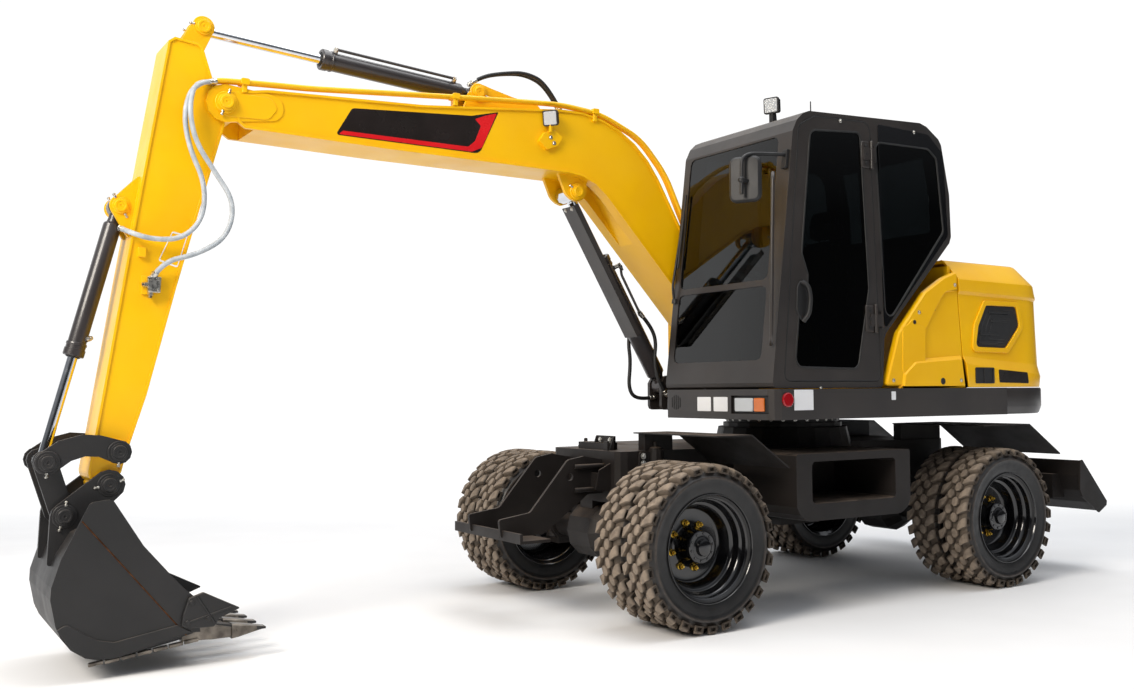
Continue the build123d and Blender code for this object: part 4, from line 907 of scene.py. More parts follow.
# name: (diameter, finish, bodies, route)
HOSES = {
    "boom_top_hose_near": (24, seal_rubber, ("arm_cylinder_barrel", "boom"), [
        (-1150, 96, 3348), (-1075, 94, 3400), (-930, 92, 3440), (-760, 90, 3470), (-600, 88, 3420),
        (-500, 84, 3256)]),
    "boom_top_hose_far": (24, seal_rubber, ("arm_cylinder_barrel", "boom"), [
        (-1142, 150, 3350), (-1060, 152, 3410), (-900, 152, 3455), (-720, 152, 3476), (-560, 150, 3410),
        (-474, 138, 3254)]),
    "arm_hose_upper": (27, grey_braid, ("boom", "arm"), [
        (-2786, -30, 3090), (-2900, -56, 3070), (-2965, -72, 2900), (-2935, -76, 2700), (-2850, -78, 2520),
        (-2858, -76, 2330), (-2960, -72, 2215), (-3110, -62, 2200), (-3235, -50, 2235), (-3243, 96, 2272)]),
    "arm_hose_lower": (27, grey_braid, ("boom", "arm"), [
        (-2786, 4, 3090), (-2890, -40, 3085), (-2940, -88, 2930), (-2915, -104, 2740), (-2810, -112, 2580),
        (-2700, -112, 2420), (-2740, -108, 2230), (-2900, -90, 2130), (-3060, -66, 2090),
        (-3103, -18, 2005)]),
    "boom_foot_hose_near": (26, seal_rubber, ("boom_cylinder_barrel", "upper"), [
        (140, 86, 1928), (225, 84, 1850), (275, 80, 1740), (245, 70, 1600), (270, 50, 1450),
        (335, 46, 1365)]),
    "boom_foot_hose_far": (26, seal_rubber, ("boom_cylinder_barrel", "upper"), [
        (150, 214, 1830), (132, 218, 1740), (150, 212, 1600), (120, 205, 1400), (200, 195, 1330),
        (330, 185, 1350)]),
}
for name, (diameter, finish, bodies, route) in HOSES.items():
    hose(name, route, diameter, finish, bodies)

# ---- bonnet and side door ----------------------------------------------------------------------
HOOD_HALF = 1100.0
HOOD_LEFT = -HOOD_HALF
HOOD_SHEET = 24
HOOD_FRONT = 1970
SEAM_END, SEAM_RUN = 2400, 430


def between_ends(place, left, right):
    """Values that run evenly along X from the front of the bonnet to its rear."""
    return np.interp(place[:, 0], (HOOD_FRONT, 3100), (left, right))


hood_plan = round_tail(front=HOOD_FRONT, rear=3140, half=HOOD_HALF, radius=420)
place, out = hood_plan
lean = np.clip(out[:, 0], 0, 1) ** 1.5
# Each line round the bonnet: height in front, height at the rear, offset at the sides, offset at the rear.
BONNET_LINES = [(1404, 1404, 28, -28), (1409, 1409, 30, -26), (1562, 1468, 30, 0), (1568, 1474, 28, -2),
                (1618, 1546, 2, -4), (1624, 1552, 0, -5), (2046, 2022, 0, -46), (2066, 2042, 14, -40),
                (2072, 2048, 15, -44), (2146, 2132, 15, -100), (2158, 2144, 9, -112), (2270, 2262, -92, -262),
                (2284, 2276, -106, -286), (2290, 2282, -120, -306)]
rows = [(between_ends(place, front, rear), off_side + (off_rear - off_side) * lean)
        for front, rear, off_side, off_rear in BONNET_LINES]


def leaned(shape):
    """The front edge follows the seam: x + lean(height) * share, where the share fades out by SEAM_END."""
    points, faces = shape
    points = points.copy()
    share = np.clip((SEAM_END - points[:, 0]) / SEAM_RUN, 0, 1)
    points[:, 0] += np.interp(points[:, 2], (1412, 2136, 2281), (68, 2, -4)) * share
    return points, faces


shell = tail_skin(hood_plan, rows, HOOD_SHEET)
top_line = np.column_stack([place + out * rows[-1][1][:, None], rows[-1][0]])
lid = np.concatenate([top_line, top_line - (0, 0, HOOD_SHEET)])
count = len(top_line)
lid_faces = [list(range(count)), list(range(count, 2 * count))[::-1]]
lid_faces += [[i, (i + 1) % count, (i + 1) % count + count, i + count] for i in range(count)]
piece("bonnet_skin", [leaned(shell), leaned((lid, lid_faces))], yellow_enamel, "bonnet", ["bonnet"], bevel=3,
      sharp=24)

GRILLE = [(2268, 1978, 30), (2606, 1980, 30), (2640, 1840, 50), (2480, 1679, 30), (2149, 1684, 30),
          (2180, 1830, 60)]
GRILLE_RIM = [(2246, 2012, 40), (2640, 2014, 40), (2684, 1832, 60), (2500, 1644, 40), (2108, 1650, 40),
              (2136, 1842, 70)]


def scaled(rows, share, middle):
    """An outline drawn in towards a middle."""
    return [(middle[0] + (x - middle[0]) * share, middle[1] + (z - middle[1]) * share, r * share)
            for x, z, r in rows]


for side in (-1, 1):
    hand = "left" if side < 0 else "right"
    face = side * HOOD_HALF
    rim_shape = ring_plate(GRILLE_RIM, GRILLE, face - side, face + side * 12)
    piece(f"grille_rim_{hand}", [rim_shape], yellow_enamel, "bonnet", bevel=5)
    steps = [slab(scaled(GRILLE, share, (2440, 1800)), face - side, face + side * level, inset=3)
             for share, level in ((0.995, 2), (0.84, 5), (0.68, 8), (0.52, 11), (0.36, 6))]
    slits = [slab(oblong((x0, x1), (z, z + 16), 3), face - side, face + side * 15, inset=2)
             for x0, x1, z in ((2298, 2522, 1922), (2312, 2513, 1862), (2199, 2404, 1770),
                               (2181, 2386, 1710))]
    piece(f"grille_{hand}", steps + slits, black_plastic, "bonnet", bevel=1.5)
latch_box = oblong((2108, 2310), (1430, 1541), 10)
piece("bonnet_latch_frame",
      [ring_plate(latch_box, scaled(latch_box, 0.86, (2209, 1485)), HOOD_LEFT - 28, HOOD_LEFT - 36),
       slab(scaled(latch_box, 0.9, (2209, 1485)), HOOD_LEFT - 28, HOOD_LEFT - 31),
       slab(oblong((2200, 2216), (1436, 1536), 4), HOOD_LEFT - 28, HOOD_LEFT - 36)], black_plastic, "bonnet",
      bevel=1.5)
piece("bonnet_blank_plate", [slab([(2370, 1436, 10), (2362, 1528, 10), (2688, 1508, 10), (2700, 1430, 10)],
                                  HOOD_LEFT - 29, HOOD_LEFT - 31.5)], dark_film, "bonnet")

DOOR_SHEET = [(1234, 1416, 20), (1363, 1766, 40), (1625, 2042, 60), (1817, 2148, 40), (1958, 2200, 20),
              (1962, 2136, 2), (2026, 1416, 2)]
DOOR_BORDER = [(1234, 1416, 20), (1363, 1766, 40), (1625, 2042, 60), (1817, 2148, 40), (1958, 2200, 20),
               (1962, 2066, 4), (1844, 2051, 60), (1798, 2010, 60), (1513, 1636, 60), (1490, 1560, 30),
               (1440, 1416, 10)]
DOOR_LEDGE = [(1384, 1502, 30), (1500, 1590, 40), (1990, 1622, 10), (2014, 1590, 4), (2030, 1388, 4),
              (1360, 1388, 4)]
HATCH = [(1386, 1494, 34), (1395, 1806, 26), (1450, 1822, 30), (1500, 1868, 30), (1556, 1822, 30),
         (1621, 1808, 26), (1611, 1495, 34)]
piece("side_door_sheet",
      [slab(DOOR_SHEET, HOOD_LEFT + 28, HOOD_LEFT), slab(DOOR_BORDER, HOOD_LEFT + 1, HOOD_LEFT - 15, inset=9),
       slab(DOOR_LEDGE, HOOD_LEFT + 1, HOOD_LEFT - 29, inset=26)], yellow_enamel, "side_door", ["side_door"],
      bevel=2)
piece("side_door_hatch", [slab(HATCH, HOOD_LEFT - 12, HOOD_LEFT - 19, inset=3)], yellow_enamel, "side_door",
      bevel=1)
T_HANDLE = [(1692, 1990, 8), (1760, 1990, 8), (1760, 1968, 8), (1738, 1960, 6), (1734, 1920, 8),
            (1718, 1920, 8), (1714, 1960, 6), (1692, 1968, 8)]
knob = [(0, 0), (0, 20), (10, 21), (16, 24), (26, 24), (31, 20), (31, 0)]
piece("side_door_fastenings",
      [slab(T_HANDLE, HOOD_LEFT, HOOD_LEFT - 10, inset=2), lathe(knob, (1772, HOOD_LEFT - 2, 1446), LEFT, 24),
       lathe([(0, 0), (0, 14), (4, 14), (4, 0)], (1510, HOOD_LEFT - 18, 1838), LEFT, 20)], black_plastic,
      "side_door", bevel=1)
screw = [(0, 0), (0, 13), (3, 13), (5, 8), (11, 6), (12, 0)]
SCREWS = [("side_door", [(1930, 2105, -15), (1560, 1905, -15), (1300, 1452, -15), (1960, 1452, -28)]),
          ("door", [(866, 3108, 0), (655, 1402, 0)]), ("upper", [(1560, 3118, 0)])]
for body, places in SCREWS:
    piece(f"{body}_screws", [lathe(screw, (x, HOOD_LEFT + y, z), LEFT, 16) for x, z, y in places], zinc_plate,
          body)

# ---- tail and skirt ----------------------------------------------------------------------------
tail_plan = round_tail(front=2451, rear=3130, half=-SKIRT_LEFT, radius=420)
level = np.ones(len(tail_plan[0]))
TAIL_LINES = [(1213, -26), (1222, -16), (1262, -2), (1270, 0), (1386, 0), (1395, -3), (1399, -9)]
tail = tail_block(tail_plan, [(level * z, level * off) for z, off in TAIL_LINES])
piece("tail_casting", [tail], charcoal_enamel, "upper", ["counterweight"], bevel=2)

# ---- bucket dressing ---------------------------------------------------------------------------
WEAR_STRIP = [(-3579, 266, 6), (-3537, 290, 26), (-3397, 198, 90), (-3317, 179, 40), (-3018, 228, 4),
              (-2940, 184, 4), (-3340, 94, 160), (-3486, 134, 110)]
CUTTER = [(-2962, 358, 16), (-2889, 381, 12), (-2700, 282, 5), (-2809, 241, 16), (-2835, 200, 14),
          (-2948, 204, 14), (-2999, 219, 14), (-2991, 279, 20)]
strips, cutters, welds, cutter_bolts, wear_blocks = [], [], [], [], []
for side in (-1, 1):
    face = BOOM_Y + side * BUCKET_SIDE
    strips.append(slab(WEAR_STRIP, face - side, face + side * 8, inset=3))
    cutters.append(slab(CUTTER, face, face + side * 20, inset=4))
    cutters.append(pipe([(-2925, face + side * 20, 368), (-2830, face + side * 22, 216)], 6))
    cutters.append(pipe([(-2984, face + side * 20, 232), (-2752, face + side * 22, 292)], 5))
    seam_path = [(x, face + side, z) for x, z in ((-3469, 779), (-3240, 500), (-3018, 228), (-2971, 171))]
    welds.append(pipe(seam_path, 3.5, 8))
    cutter_bolts += [bolt((x, face + side * 19, z), (0, side, 0), 26)
                     for x, z in ((-2949, 335), (-2866, 247), (-2969, 236))]
    for i in range(7):
        x, z = -3400 + 76 * i, 76 + 9.5 * i + (4 if i == 0 else 0)
        wear_blocks.append(bars([(x - 33, face - side * 10, 14, z - 9, z + 9),
                                 (x + 33, face - side * 10, 14, z - 1, z + 17)]))
piece("bucket_side_strips", strips, bucket_enamel, "bucket", bevel=1.5)
piece("bucket_side_cutters", cutters, bucket_enamel, "bucket", bevel=2)
piece("bucket_weld_seams", welds, weld_steel, "bucket")
piece("bucket_cutter_bolts", cutter_bolts, bucket_enamel, "bucket")
piece("bucket_lip_blocks", wear_blocks, worn_steel, "bucket", bevel=2)
teeth, holders = [], []
for i in range(5):
    y = BOOM_Y + (i - 2) * 167.5
    teeth.append(bars([(-2738, y, 37, 122, 200), (-2700, y, 35, 127, 194), (-2620, y, 31, 145, 178),
                       (-2564, y, 27, 156, 166)]))
    teeth.append(lathe([(-39, 0), (-39, 11), (39, 11), (39, 0)], (-2704, y, 166), sides=16))
    holders.append(bars([(-2990, y, 30, 136, 206), (-2900, y, 34, 134, 214), (-2840, y, 36, 130, 212),
                         (-2752, y, 33, 130, 192), (-2735, y, 30, 134, 188)]))
piece("bucket_tooth_points", teeth, worn_steel, "bucket", bevel=2)
piece("bucket_tooth_holders", holders, worn_steel, "bucket", bevel=2)

# ---- arm dressing ------------------------------------------------------------------------------
ARM_FACE = BOOM_Y - 134
block_edge = [(-3129, 1926, 5), (-3131, 2010, 5), (-3062, 2010, 5), (-3066, 1926, 5)]
piece("arm_valve_block", [slab(block_edge, ARM_FACE - 4, ARM_FACE - 46, inset=3)], zinc_plate, "arm", bevel=2)
ends = [((-3098, 2008), (0.05, 0, 1)), ((-3112, 1928), (-0.1, 0, -1)), ((-3128, 1968), (-1, 0, 0))]
piece("arm_valve_unions",
      [lathe([(0, 0), (0, 15), (16, 15), (18, 11), (30, 11), (30, 0)], (x, ARM_FACE - 25, z), way, 6)
       for (x, z), way in ends] + [bolt((x, ARM_FACE - 46, z), LEFT, 15)
                                   for x, z in ((-3115, 1996), (-3076, 1996), (-3115, 1940), (-3078, 1940))],
      zinc_plate, "arm")
piece("arm_valve_plate",
      [slab([(-3158, 1916, 8), (-3156, 2018, 8), (-3120, 2018, 8), (-3122, 1916, 8)], ARM_FACE + 1,
            ARM_FACE - 14), slab(oblong((-3174, -3136), (2112, 2164), 4), ARM_FACE + 1, ARM_FACE - 24)],
      yellow_enamel, "arm", bevel=2)
LABEL = [(-2998, 2261, 10), (-2918, 2244, 10), (-2971, 2067, 10), (-3070, 2099, 10)]
piece("arm_blank_label",
      [ring_plate(LABEL, scaled(LABEL, 0.90, (-2990, 2168)), ARM_FACE + 0.5, ARM_FACE - 1)], label_film,
      "arm", slot="yellow_paint")

# ---- boom dressing -----------------------------------------------------------------------------
BOOM_FACE = BOOM_Y - BOOM_SIDE
PANEL_EDGE = [(-2098, 2882, 12), (-1997, 3049, 30), (-1216, 3104, 30), (-1025, 3151, 4), (-1160, 2874, 60)]
PANEL_RED = [(-1192, 3086, 4), (-1119, 3117, 30), (-1037, 3142, 4), (-1144, 2912, 30), (-1216, 2879, 40),
             (-2081, 2887, 4), (-2053, 2910, 4), (-1240, 2908, 30), (-1192, 2949, 30), (-1151, 3048, 10)]
piece("boom_side_panel", [slab(PANEL_EDGE, BOOM_FACE + 1, BOOM_FACE - 1.2)], dark_film, "boom")
piece("boom_side_stripe", [slab(PANEL_RED, BOOM_FACE, BOOM_FACE - 2.0)], red_film, "boom")
NOSE_STRAP = [(-2732, 3046, 62), (-2470, 3042, 60), (-2440, 2980, 30), (-2490, 2912, 60), (-2735, 2905, 62),
              (-2800, 2975, 40)]
piece("boom_nose_plates", [slab(NOSE_STRAP, BOOM_Y + way * (BOOM_SIDE + 1), BOOM_Y + way * (BOOM_SIDE + 11),
                                inset=3) for way in (-1, 1)], yellow_enamel, "boom", bevel=1)
PIPE_Y = -30.0
PIPE_ROUTE = [(-2786, 3092), (-2748, 3103), (-2437, 3120), (-2251, 3128), (-1824, 3165), (-1330, 3206),
              (-869, 3241), (-568, 3262), (-253, 3238), (75, 3110), (286, 2888), (379, 2700), (520, 2420)]
pipes = [pipe(bent([(x, y, z) for x, z in PIPE_ROUTE], 110, 7), 13) for y in (PIPE_Y, PIPE_Y + 34)]
piece("boom_pipes", pipes, yellow_enamel, "boom")


def pipe_clamp(x, z, foot_z):
    """A saddle over both pipes on a post; the bolt on top is made as a piece of its own."""
    post = box((x - 14, x + 14), (PIPE_Y - 8, PIPE_Y + 42), (foot_z, z - 6), 4)
    saddle = slab([(x - 24, z - 16, 4), (x - 24, z + 18, 10), (x + 24, z + 18, 10), (x + 24, z - 16, 4)],
                  PIPE_Y - 20, PIPE_Y + 54)
    return joined([post, saddle])


CLAMPS = [(-2627, 3109, 3050), (-1330, 3206, 3150), (-300, 3246, 3180)]
piece("boom_pipe_clamps", [pipe_clamp(*row) for row in CLAMPS], yellow_enamel, "boom", bevel=1.5)
piece("boom_pipe_bolts", [bolt((x, PIPE_Y + 17, z + 18), UP, 20) for x, z, _ in CLAMPS], zinc_plate,
      "boom")


def work_lamp(centre, way, size, lens_name, body):
    """A square lamp: a ribbed housing, a bezel and a clear lens, facing along way."""
    axis, first, second = square_to(way)
    turn = np.array([first, second, axis])
    half = size / 2
    edge = [(-half, -half, 14), (half, -half, 14), (half, half, 14), (-half, half, 14)]
    small = [(a * 0.82, b * 0.82, r) for a, b, r in edge]
    shell = [slab(edge, -6, 14, "xy"), slab(small, -40, -6, "xy")]
    shell += [slab([(a * 0.9, b * 0.9, r) for a, b, r in edge], z, z + 4, "xy") for z in (-34, -24, -14)]
    housing = joined(shell)
    lens = slab([(a * 0.84, b * 0.84, 8) for a, b, r in edge], 13, 17, "xy")
    place = np.asarray(centre, float)
    piece(f"{lens_name}_housing", [(housing[0] @ turn + place, housing[1])], black_plastic, body, bevel=1.5)
    piece(f"{lens_name}_lens", [(lens[0] @ turn + place, lens[1])], lamp_lens, body, bevel=1)


work_lamp((-664, -62, 3151), (-0.75, -0.62, -0.2), 100, "boom_lamp", "boom")
LAMP_BRACKET = [(-740, 3000, 8), (-700, 3060, 8), (-620, 3080, 10), (-560, 3040, 10), (-600, 2980, 8),
                (-680, 2950, 8)]
piece("boom_lamp_bracket", [slab(LAMP_BRACKET, BOOM_FACE + 2, BOOM_FACE - 26),
                            box((-672, -652), (-66, -46), (3060, 3112), 3)], yellow_enamel, "boom",
      bevel=2)
piece("boom_lamp_bolts", [bolt((x, BOOM_FACE - 26, z), LEFT, 20) for x, z in ((-655, 3030), (-630, 2995))],
      zinc_plate, "boom")

# ---- cab trim ----------------------------------------------------------------------------------
HINGES = [(1137, 2915), (1150, 1850)]


def door_hinge(x, z):
    """A pressed leaf and the hinge's round barrel beside it; its three bolts are made as a piece of their
    own.
    """
    leaf = slab([(x - 88, z - 85, 10), (x - 88, z + 85, 10), (x - 14, z + 85, 6), (x - 14, z - 85, 6)],
                CAB_LEFT + 1, CAB_LEFT - 10, inset=3)
    barrel = lathe([(-92, 0), (-92, 9), (-88, 12), (88, 12), (92, 9), (92, 0)], (x, CAB_LEFT - 12, z), UP, 20)
    return joined([leaf, barrel])


piece("door_hinge_leaves", [door_hinge(*row) for row in HINGES], charcoal_enamel, "door", bevel=1)
piece("door_hinge_bolts", [bolt((x - 52, CAB_LEFT - 10, z + dz), LEFT, 19) for x, z in HINGES
                           for dz in (-55, 0, 55)], black_plastic, "door")
HANDLE_POCKET = [(505, 2085, 30), (578, 2000, 50), (588, 1912, 50), (516, 1790, 30), (455, 1880, 50),
                 (462, 2030, 50)]
piece("door_handle_pocket", [slab(HANDLE_POCKET, CAB_LEFT + 2, CAB_LEFT - 7, inset=4)], black_plastic, "door")
grip = bent([(500, CAB_LEFT - 6, 2062), (530, CAB_LEFT - 34, 2035), (545, CAB_LEFT - 36, 1955),
             (532, CAB_LEFT - 34, 1860), (508, CAB_LEFT - 6, 1815)], 30)
piece("door_handle_grip", [pipe(grip, 15, across=(1, 0, 0.2))], black_plastic, "door")


def seal(rows, y, radius, name, body):
    """A round rubber seal that follows an opening's edge."""
    flat = rounded(rows, 7)
    flat = np.concatenate([flat, flat[:1]])
    path = np.stack([flat[:, 0], np.full(len(flat), y), flat[:, 1]], -1)
    return piece(name, [pipe(path, radius, 8)], seal_rubber, body)


DOOR_WINDOW = [(600, 3020, 60), (1045, 3055, 40), (1105, 2040, 30), (994, 1525, 60), (440, 1534, 60),
               (478, 1850, 20), (545, 1880, 20), (560, 2110, 20), (510, 2240, 20)]
REAR_SIDE_WINDOW = [(1185, 3009, 50), (1697, 3021, 60), (1784, 2961, 50), (1842, 2464, 50), (1255, 1800, 50)]
DOOR_EDGE = [(352, 1450, 40), (500, 3040, 70), (640, 3110, 70), (1130, 3130, 60), (1200, 1450, 40)]
seal(DOOR_WINDOW, CAB_LEFT + 2, 7, "door_window_seal", "door")
seal(REAR_SIDE_WINDOW, CAB_LEFT + 2, 7, "rear_window_seal", "upper")
seal(DOOR_EDGE, CAB_LEFT + 3, 5, "door_edge_seal", "door")
piece("grab_rail",
      [pipe(bent([(300, CAB_LEFT + 20, 2720), (268, CAB_LEFT - 12, 2690), (236, CAB_LEFT - 12, 1700),
                  (262, CAB_LEFT + 20, 1670)], 30), 12, across=(1, 0, 0))], charcoal_enamel, "upper")

# ---- skirt: lamps, horn slots, plates, reflector -----------------------------------------------
bezel = slab(oblong((-1070, -742), (1254, 1354), 14), SKIRT_FRONT + 26, SKIRT_FRONT + 12, "yz")
piece("headlamp_bezel", [bezel], black_plastic, "upper", bevel=2)
for name, across, finish in (("headlamp", (-932, -766), lamp_lens),
                             ("indicator", (-1034, -942), orange_lens)):
    lens = slab(oblong(across, (1262, 1346), 8), SKIRT_FRONT + 13, SKIRT_FRONT + 3, "yz", inset=3)
    piece(f"{name}_lens", [lens], finish, "upper")
slots = [slab(oblong((y, y + 9), (1316 - h, 1316 + h), 4), SKIRT_FRONT + 1, SKIRT_FRONT - 1.5, "yz")
         for y, h in ((-229, 34), (-208, 46), (-187, 50), (-166, 46), (-145, 34))]
piece("horn_slots", slots, seal_rubber, "upper")
plates = [slab(oblong((y, y + 136), (1261, 1352), 6), SKIRT_FRONT + 1, SKIRT_FRONT - 1.5, "yz")
          for y in (-706, -543)]
piece("front_blank_plates", plates, label_film, "upper")
piece("side_blank_labels",
      [slab(oblong((x0, x1), (z0, z1), 3), SKIRT_LEFT + 0.5, SKIRT_LEFT - 1)
       for x0, x1, z0, z1 in ((400, 560, 1270, 1395), (1262, 1302, 1325, 1380))], label_film, "upper")
reflector = [(0, 0), (0, 44), (8, 44), (12, 38), (12, 0)]
piece("red_reflector", [lathe(reflector, (345, SKIRT_LEFT, 1334), LEFT, 32)], red_lens, "upper")

GLASS_BORDER = [(1206, 3128, 20), (1700, 3118, 60), (1850, 3000, 60), (1885, 2440, 50), (1236, 1775, 20)]
GLASS_EDGE = [(1216, 3006, 30), (1697, 3021, 60), (1784, 2961, 50), (1842, 2464, 50), (1262, 1808, 40)]
piece("rear_glass_border", [ring_plate(GLASS_BORDER, GLASS_EDGE, CAB_LEFT + 1, CAB_LEFT - 3)], rim_enamel,
      "upper")

MIRROR_Y = -1065.0
HEAD_MIDDLE = (114, MIRROR_Y + 30, 2670)
arm_path = bent([(428, MIRROR_Y, 2850), (130, MIRROR_Y, 2824), (62, MIRROR_Y, 2792), (57, MIRROR_Y, 2570)],
                45)
clamp_edge = [(398, 2762, 6), (412, 2878, 6), (438, 2878, 6), (424, 2762, 6)]
piece("mirror_arm",
      [pipe(arm_path, 12), slab(clamp_edge, MIRROR_Y - 22, MIRROR_Y + 22, inset=3),
       pipe([(54, MIRROR_Y, 2657), (112, MIRROR_Y + 8, 2657)], 14),
       lathe([(-22, 0), (-20, 10), (-8, 21), (8, 21), (20, 10), (22, 0)], (57, MIRROR_Y, 2657), UP, 20)],
      black_plastic, "upper", ["mirror"], bevel=1)
head_edge = oblong((-1135, -935), (2530, 2810), 46)
head = turned(slab(head_edge, 132, 96, "yz", inset=14), UP, 30, HEAD_MIDDLE)
piece("mirror_head", [head], black_plastic, "upper", bevel=3)
lens_edge = scaled(head_edge, 0.90, (-1035, 2670))
piece("mirror_glass", [turned(slab(lens_edge, 131, 134, "yz"), UP, 30, HEAD_MIDDLE)], hard_chrome,
      "upper")

piece("roof_lamp_post", [slab([(738, 3155, 4), (738, 3250, 10), (772, 3250, 10), (782, 3155, 4)], -618, -582),
                         box((722, 798), (-640, -560), (3146, 3160), 8)], black_plastic, "upper",
      ["roof_lamp"], bevel=2)
work_lamp((748, -600, 3300), (-0.93, -0.35, -0.05), 108, "roof_lamp", "upper")
piece("antenna",
      [lathe([(0, 0), (0, 16), (18, 16), (26, 8), (70, 5), (222, 4), (224, 0)], (1108, -600, 3155), UP, 16)],
      black_plastic, "upper")
wiper_arm = bent([(398, -82, 2600), (322, -74, 2200), (304, -72, 2110), (312, -76, 2005)], 40)
piece("wiper",
      [pipe(wiper_arm, 9), pipe([(398, -112, 2740), (330, -98, 2230)], 7),
       lathe([(0, 0), (0, 22), (30, 18), (34, 0)], (318, -76, 1990), UP, 20)], black_plastic, "upper")

# ---- seat --------------------------------------------------------------------------------------
CUSHION_POWER = 0.34


def cushion(centre, size, tilt):
    """A stuffed cushion leaned about Y, with a welt round it. Its skin is a superellipsoid: half the size
    times (cos a)^e (cos b)^e, (cos a)^e (sin b)^e and (sin a)^e, where each power keeps its sign."""
    def power(value):
        return np.sign(value) * np.abs(value) ** CUSHION_POWER

    high = np.linspace(-np.pi / 2, np.pi / 2, 30)[:, None]
    turn = np.linspace(0, 2 * np.pi, 60, endpoint=False)[None, :]
    skin = np.stack([power(np.cos(high)) * power(np.cos(turn)), power(np.cos(high)) * power(np.sin(turn)),
                     power(np.sin(high)) * np.ones_like(turn)], -1)
    body = grid(skin * np.asarray(size) / 2 + np.asarray(centre), wrap_columns=True)
    welt = np.stack([power(np.cos(turn[0])), power(np.sin(turn[0])), np.zeros(60)], -1)
    welt = np.concatenate([welt, welt[:1]]) * np.asarray(size) / 2 * 1.005 + np.asarray(centre)
    return turned(joined([body, pipe(welt, 5, 8, across=UP)]), (0, 1, 0), tilt, centre)


cushions = [cushion((900, SEAT_Y, 1765), (460, 480, 130), -4),
            cushion((1200, SEAT_Y, 2095), (110, 450, 640), 9),
            cushion((1262, SEAT_Y, 2530), (90, 250, 190), 9)]
seat_pads = piece("seat_pads", cushions, cloth, "upper", ["seat"])
bellows = [(0, 0), (0, 165)] + [(20 + 18 * i, 150 - 14 * (i % 2)) for i in range(12)] + [(240, 165), (246, 0)]
piece("seat_base", [lathe(bellows, (910, SEAT_Y, 1452), UP, 36),
                    pipe([(1240, SEAT_Y - 50, 2380), (1256, SEAT_Y - 50, 2470)], 7),
                    pipe([(1240, SEAT_Y + 50, 2380), (1256, SEAT_Y + 50, 2470)], 7)], black_plastic, "upper")

# ---- undercarriage dressing --------------------------------------------------------------------
turns = np.radians(np.arange(0, 360, 12))
piece("slew_ring_bolts",
      [bolt((SLEW_X + SLEW_BOLT_R * math.cos(a), SLEW_BOLT_R * math.sin(a), SLEW_BOLT_Z),
            (math.cos(a), math.sin(a), 0), 20) for a in turns], zinc_plate, "chassis")
post_cap = [(0, 0), (0, 42), (12, 42), (18, 32), (20, 13), (46, 13), (50, 9), (52, 0)]
piece("frame_post_caps", [lathe(post_cap, (-106, y, 1019), UP, 24) for y in (-400, 400)], chassis_enamel,
      "chassis", bevel=1)
piece("frame_post_plates",
      [slab([(-245, 905, 10), (-240, 1010, 20), (-150, 1010, 6), (-150, 905, 6)], side * 399, side * 414,
            inset=2) for side in (-1, 1)], chassis_enamel, "chassis", bevel=1)
piece("frame_post_bolts",
      [bolt((-212, side * 414, z), (0, side, 0), 30) for side in (-1, 1) for z in (984, 938)], zinc_plate,
      "chassis")
gussets = [pipe([(-600, side * 216, z), (-585, side * 222, z), (-400, side * 222, z), (-384, side * 218, z)],
                15, 12) for side in (-1, 1) for z in (922, 776)]
piece("bracket_gussets", gussets, chassis_enamel, "chassis")
rest_wings = [slab([(-332, 1016, 2), (-300, 1106, 10), (-286, 1106, 2), (-286, 1016, 2)], y, y + 10)
              for y in (-218, -24)]
piece("frame_rest",
      [slab([(-218, 1016, 2), (-218, 1106, 8), (-14, 1106, 8), (-14, 1016, 2)], -298, -286, "yz"),
       *rest_wings], chassis_enamel, "chassis", bevel=1)
piece("frame_rest_bolts", [bolt((-298, y, 1080), (-1, 0, 0), 24) for y in (-170, -60)], zinc_plate, "chassis")

# ---- studio ------------------------------------------------------------------------------------
WORLD_GLOW, PAPER_GLOW = 1.05, 1.06
TO_WALL = (0.54, 0.84, 0.0)     # from the camera past the machine, along the floor
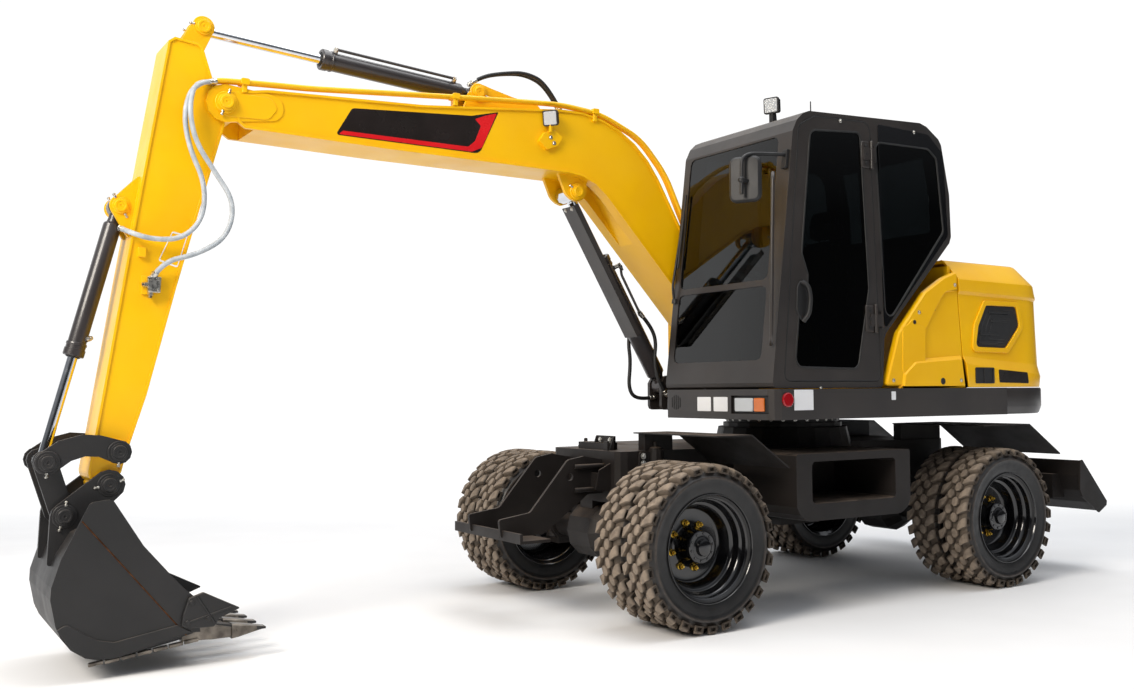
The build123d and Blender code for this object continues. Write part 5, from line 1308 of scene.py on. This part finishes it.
# Metres that way from the origin: where the glow begins, and where it is full white.
SWEEP = (2.5, 8.0)
floor = bpy.data.objects.new("floor", bpy.data.meshes.new("floor"))
floor.data.from_pydata([(-60, -60, 0), (60, -60, 0), (60, 60, 0), (-60, 60, 0)], [], [(0, 1, 2, 3)])
bpy.context.scene.collection.objects.link(floor)
material, tree, where = new_tree("pale_floor")
# The flat floor fades into a glowing white behind the machine, so that it meets the white wall without a
# seam, as a studio's paper sweep looks.
ahead = put(tree, "ShaderNodeVectorMath", {0: where, 1: TO_WALL}, operation="DOT_PRODUCT")
sweep = put(tree, "ShaderNodeMapRange",
            {"Value": ahead.outputs["Value"], "From Min": SWEEP[0], "From Max": SWEEP[1]},
            interpolation_type="SMOOTHSTEP").outputs["Result"]
paper = mixed(tree, mottle(tree, where, 900), "E6E6E6", "EAEAEA")
shader(tree, mixed(tree, sweep, paper, "000000"), 0.9, Emission_Color=linear("FFFFFF"),
       Emission_Strength=times(tree, sweep, PAPER_GLOW))
floor.data.materials.append(material)


def studio_sky():
    """A pale room: a white wall behind the machine, a soft bright ceiling, and greyer walls elsewhere."""
    world = bpy.data.worlds.new("studio")
    bpy.context.scene.world = world
    world.use_nodes = True
    tree = world.node_tree
    tree.nodes.clear()
    way = put(tree, "ShaderNodeTexCoord").outputs["Generated"]
    wall = put(tree, "ShaderNodeVectorMath", {0: way, 1: (0.20, 0.98, 0.0)},
               operation="DOT_PRODUCT").outputs["Value"]
    wall = put(tree, "ShaderNodeMapRange",
               {"Value": wall, "From Min": 0.45, "From Max": 0.62}).outputs["Result"]
    up = put(tree, "ShaderNodeSeparateXYZ", {0: way}).outputs["Z"]
    up = put(tree, "ShaderNodeMapRange", {"Value": up, "From Min": 0.15, "From Max": 0.75}).outputs["Result"]
    colour = mixed(tree, wall, mixed(tree, up, "2E2F31", "DDE1E8"), "FFFFFF")
    glow = put(tree, "ShaderNodeBackground", {"Color": colour, "Strength": WORLD_GLOW})
    put(tree, "ShaderNodeOutputWorld", {"Surface": glow.outputs[0]})


studio_sky()
lamp_at("key", (-9.5, -4.0, 7.0), (-0.5, 0.0, 1.5), 4.0, 1050, "FFF6EA")
lamp_at("top", (1.0, -1.0, 10.0), (0.0, 0.0, 1.0), 7.0, 500)
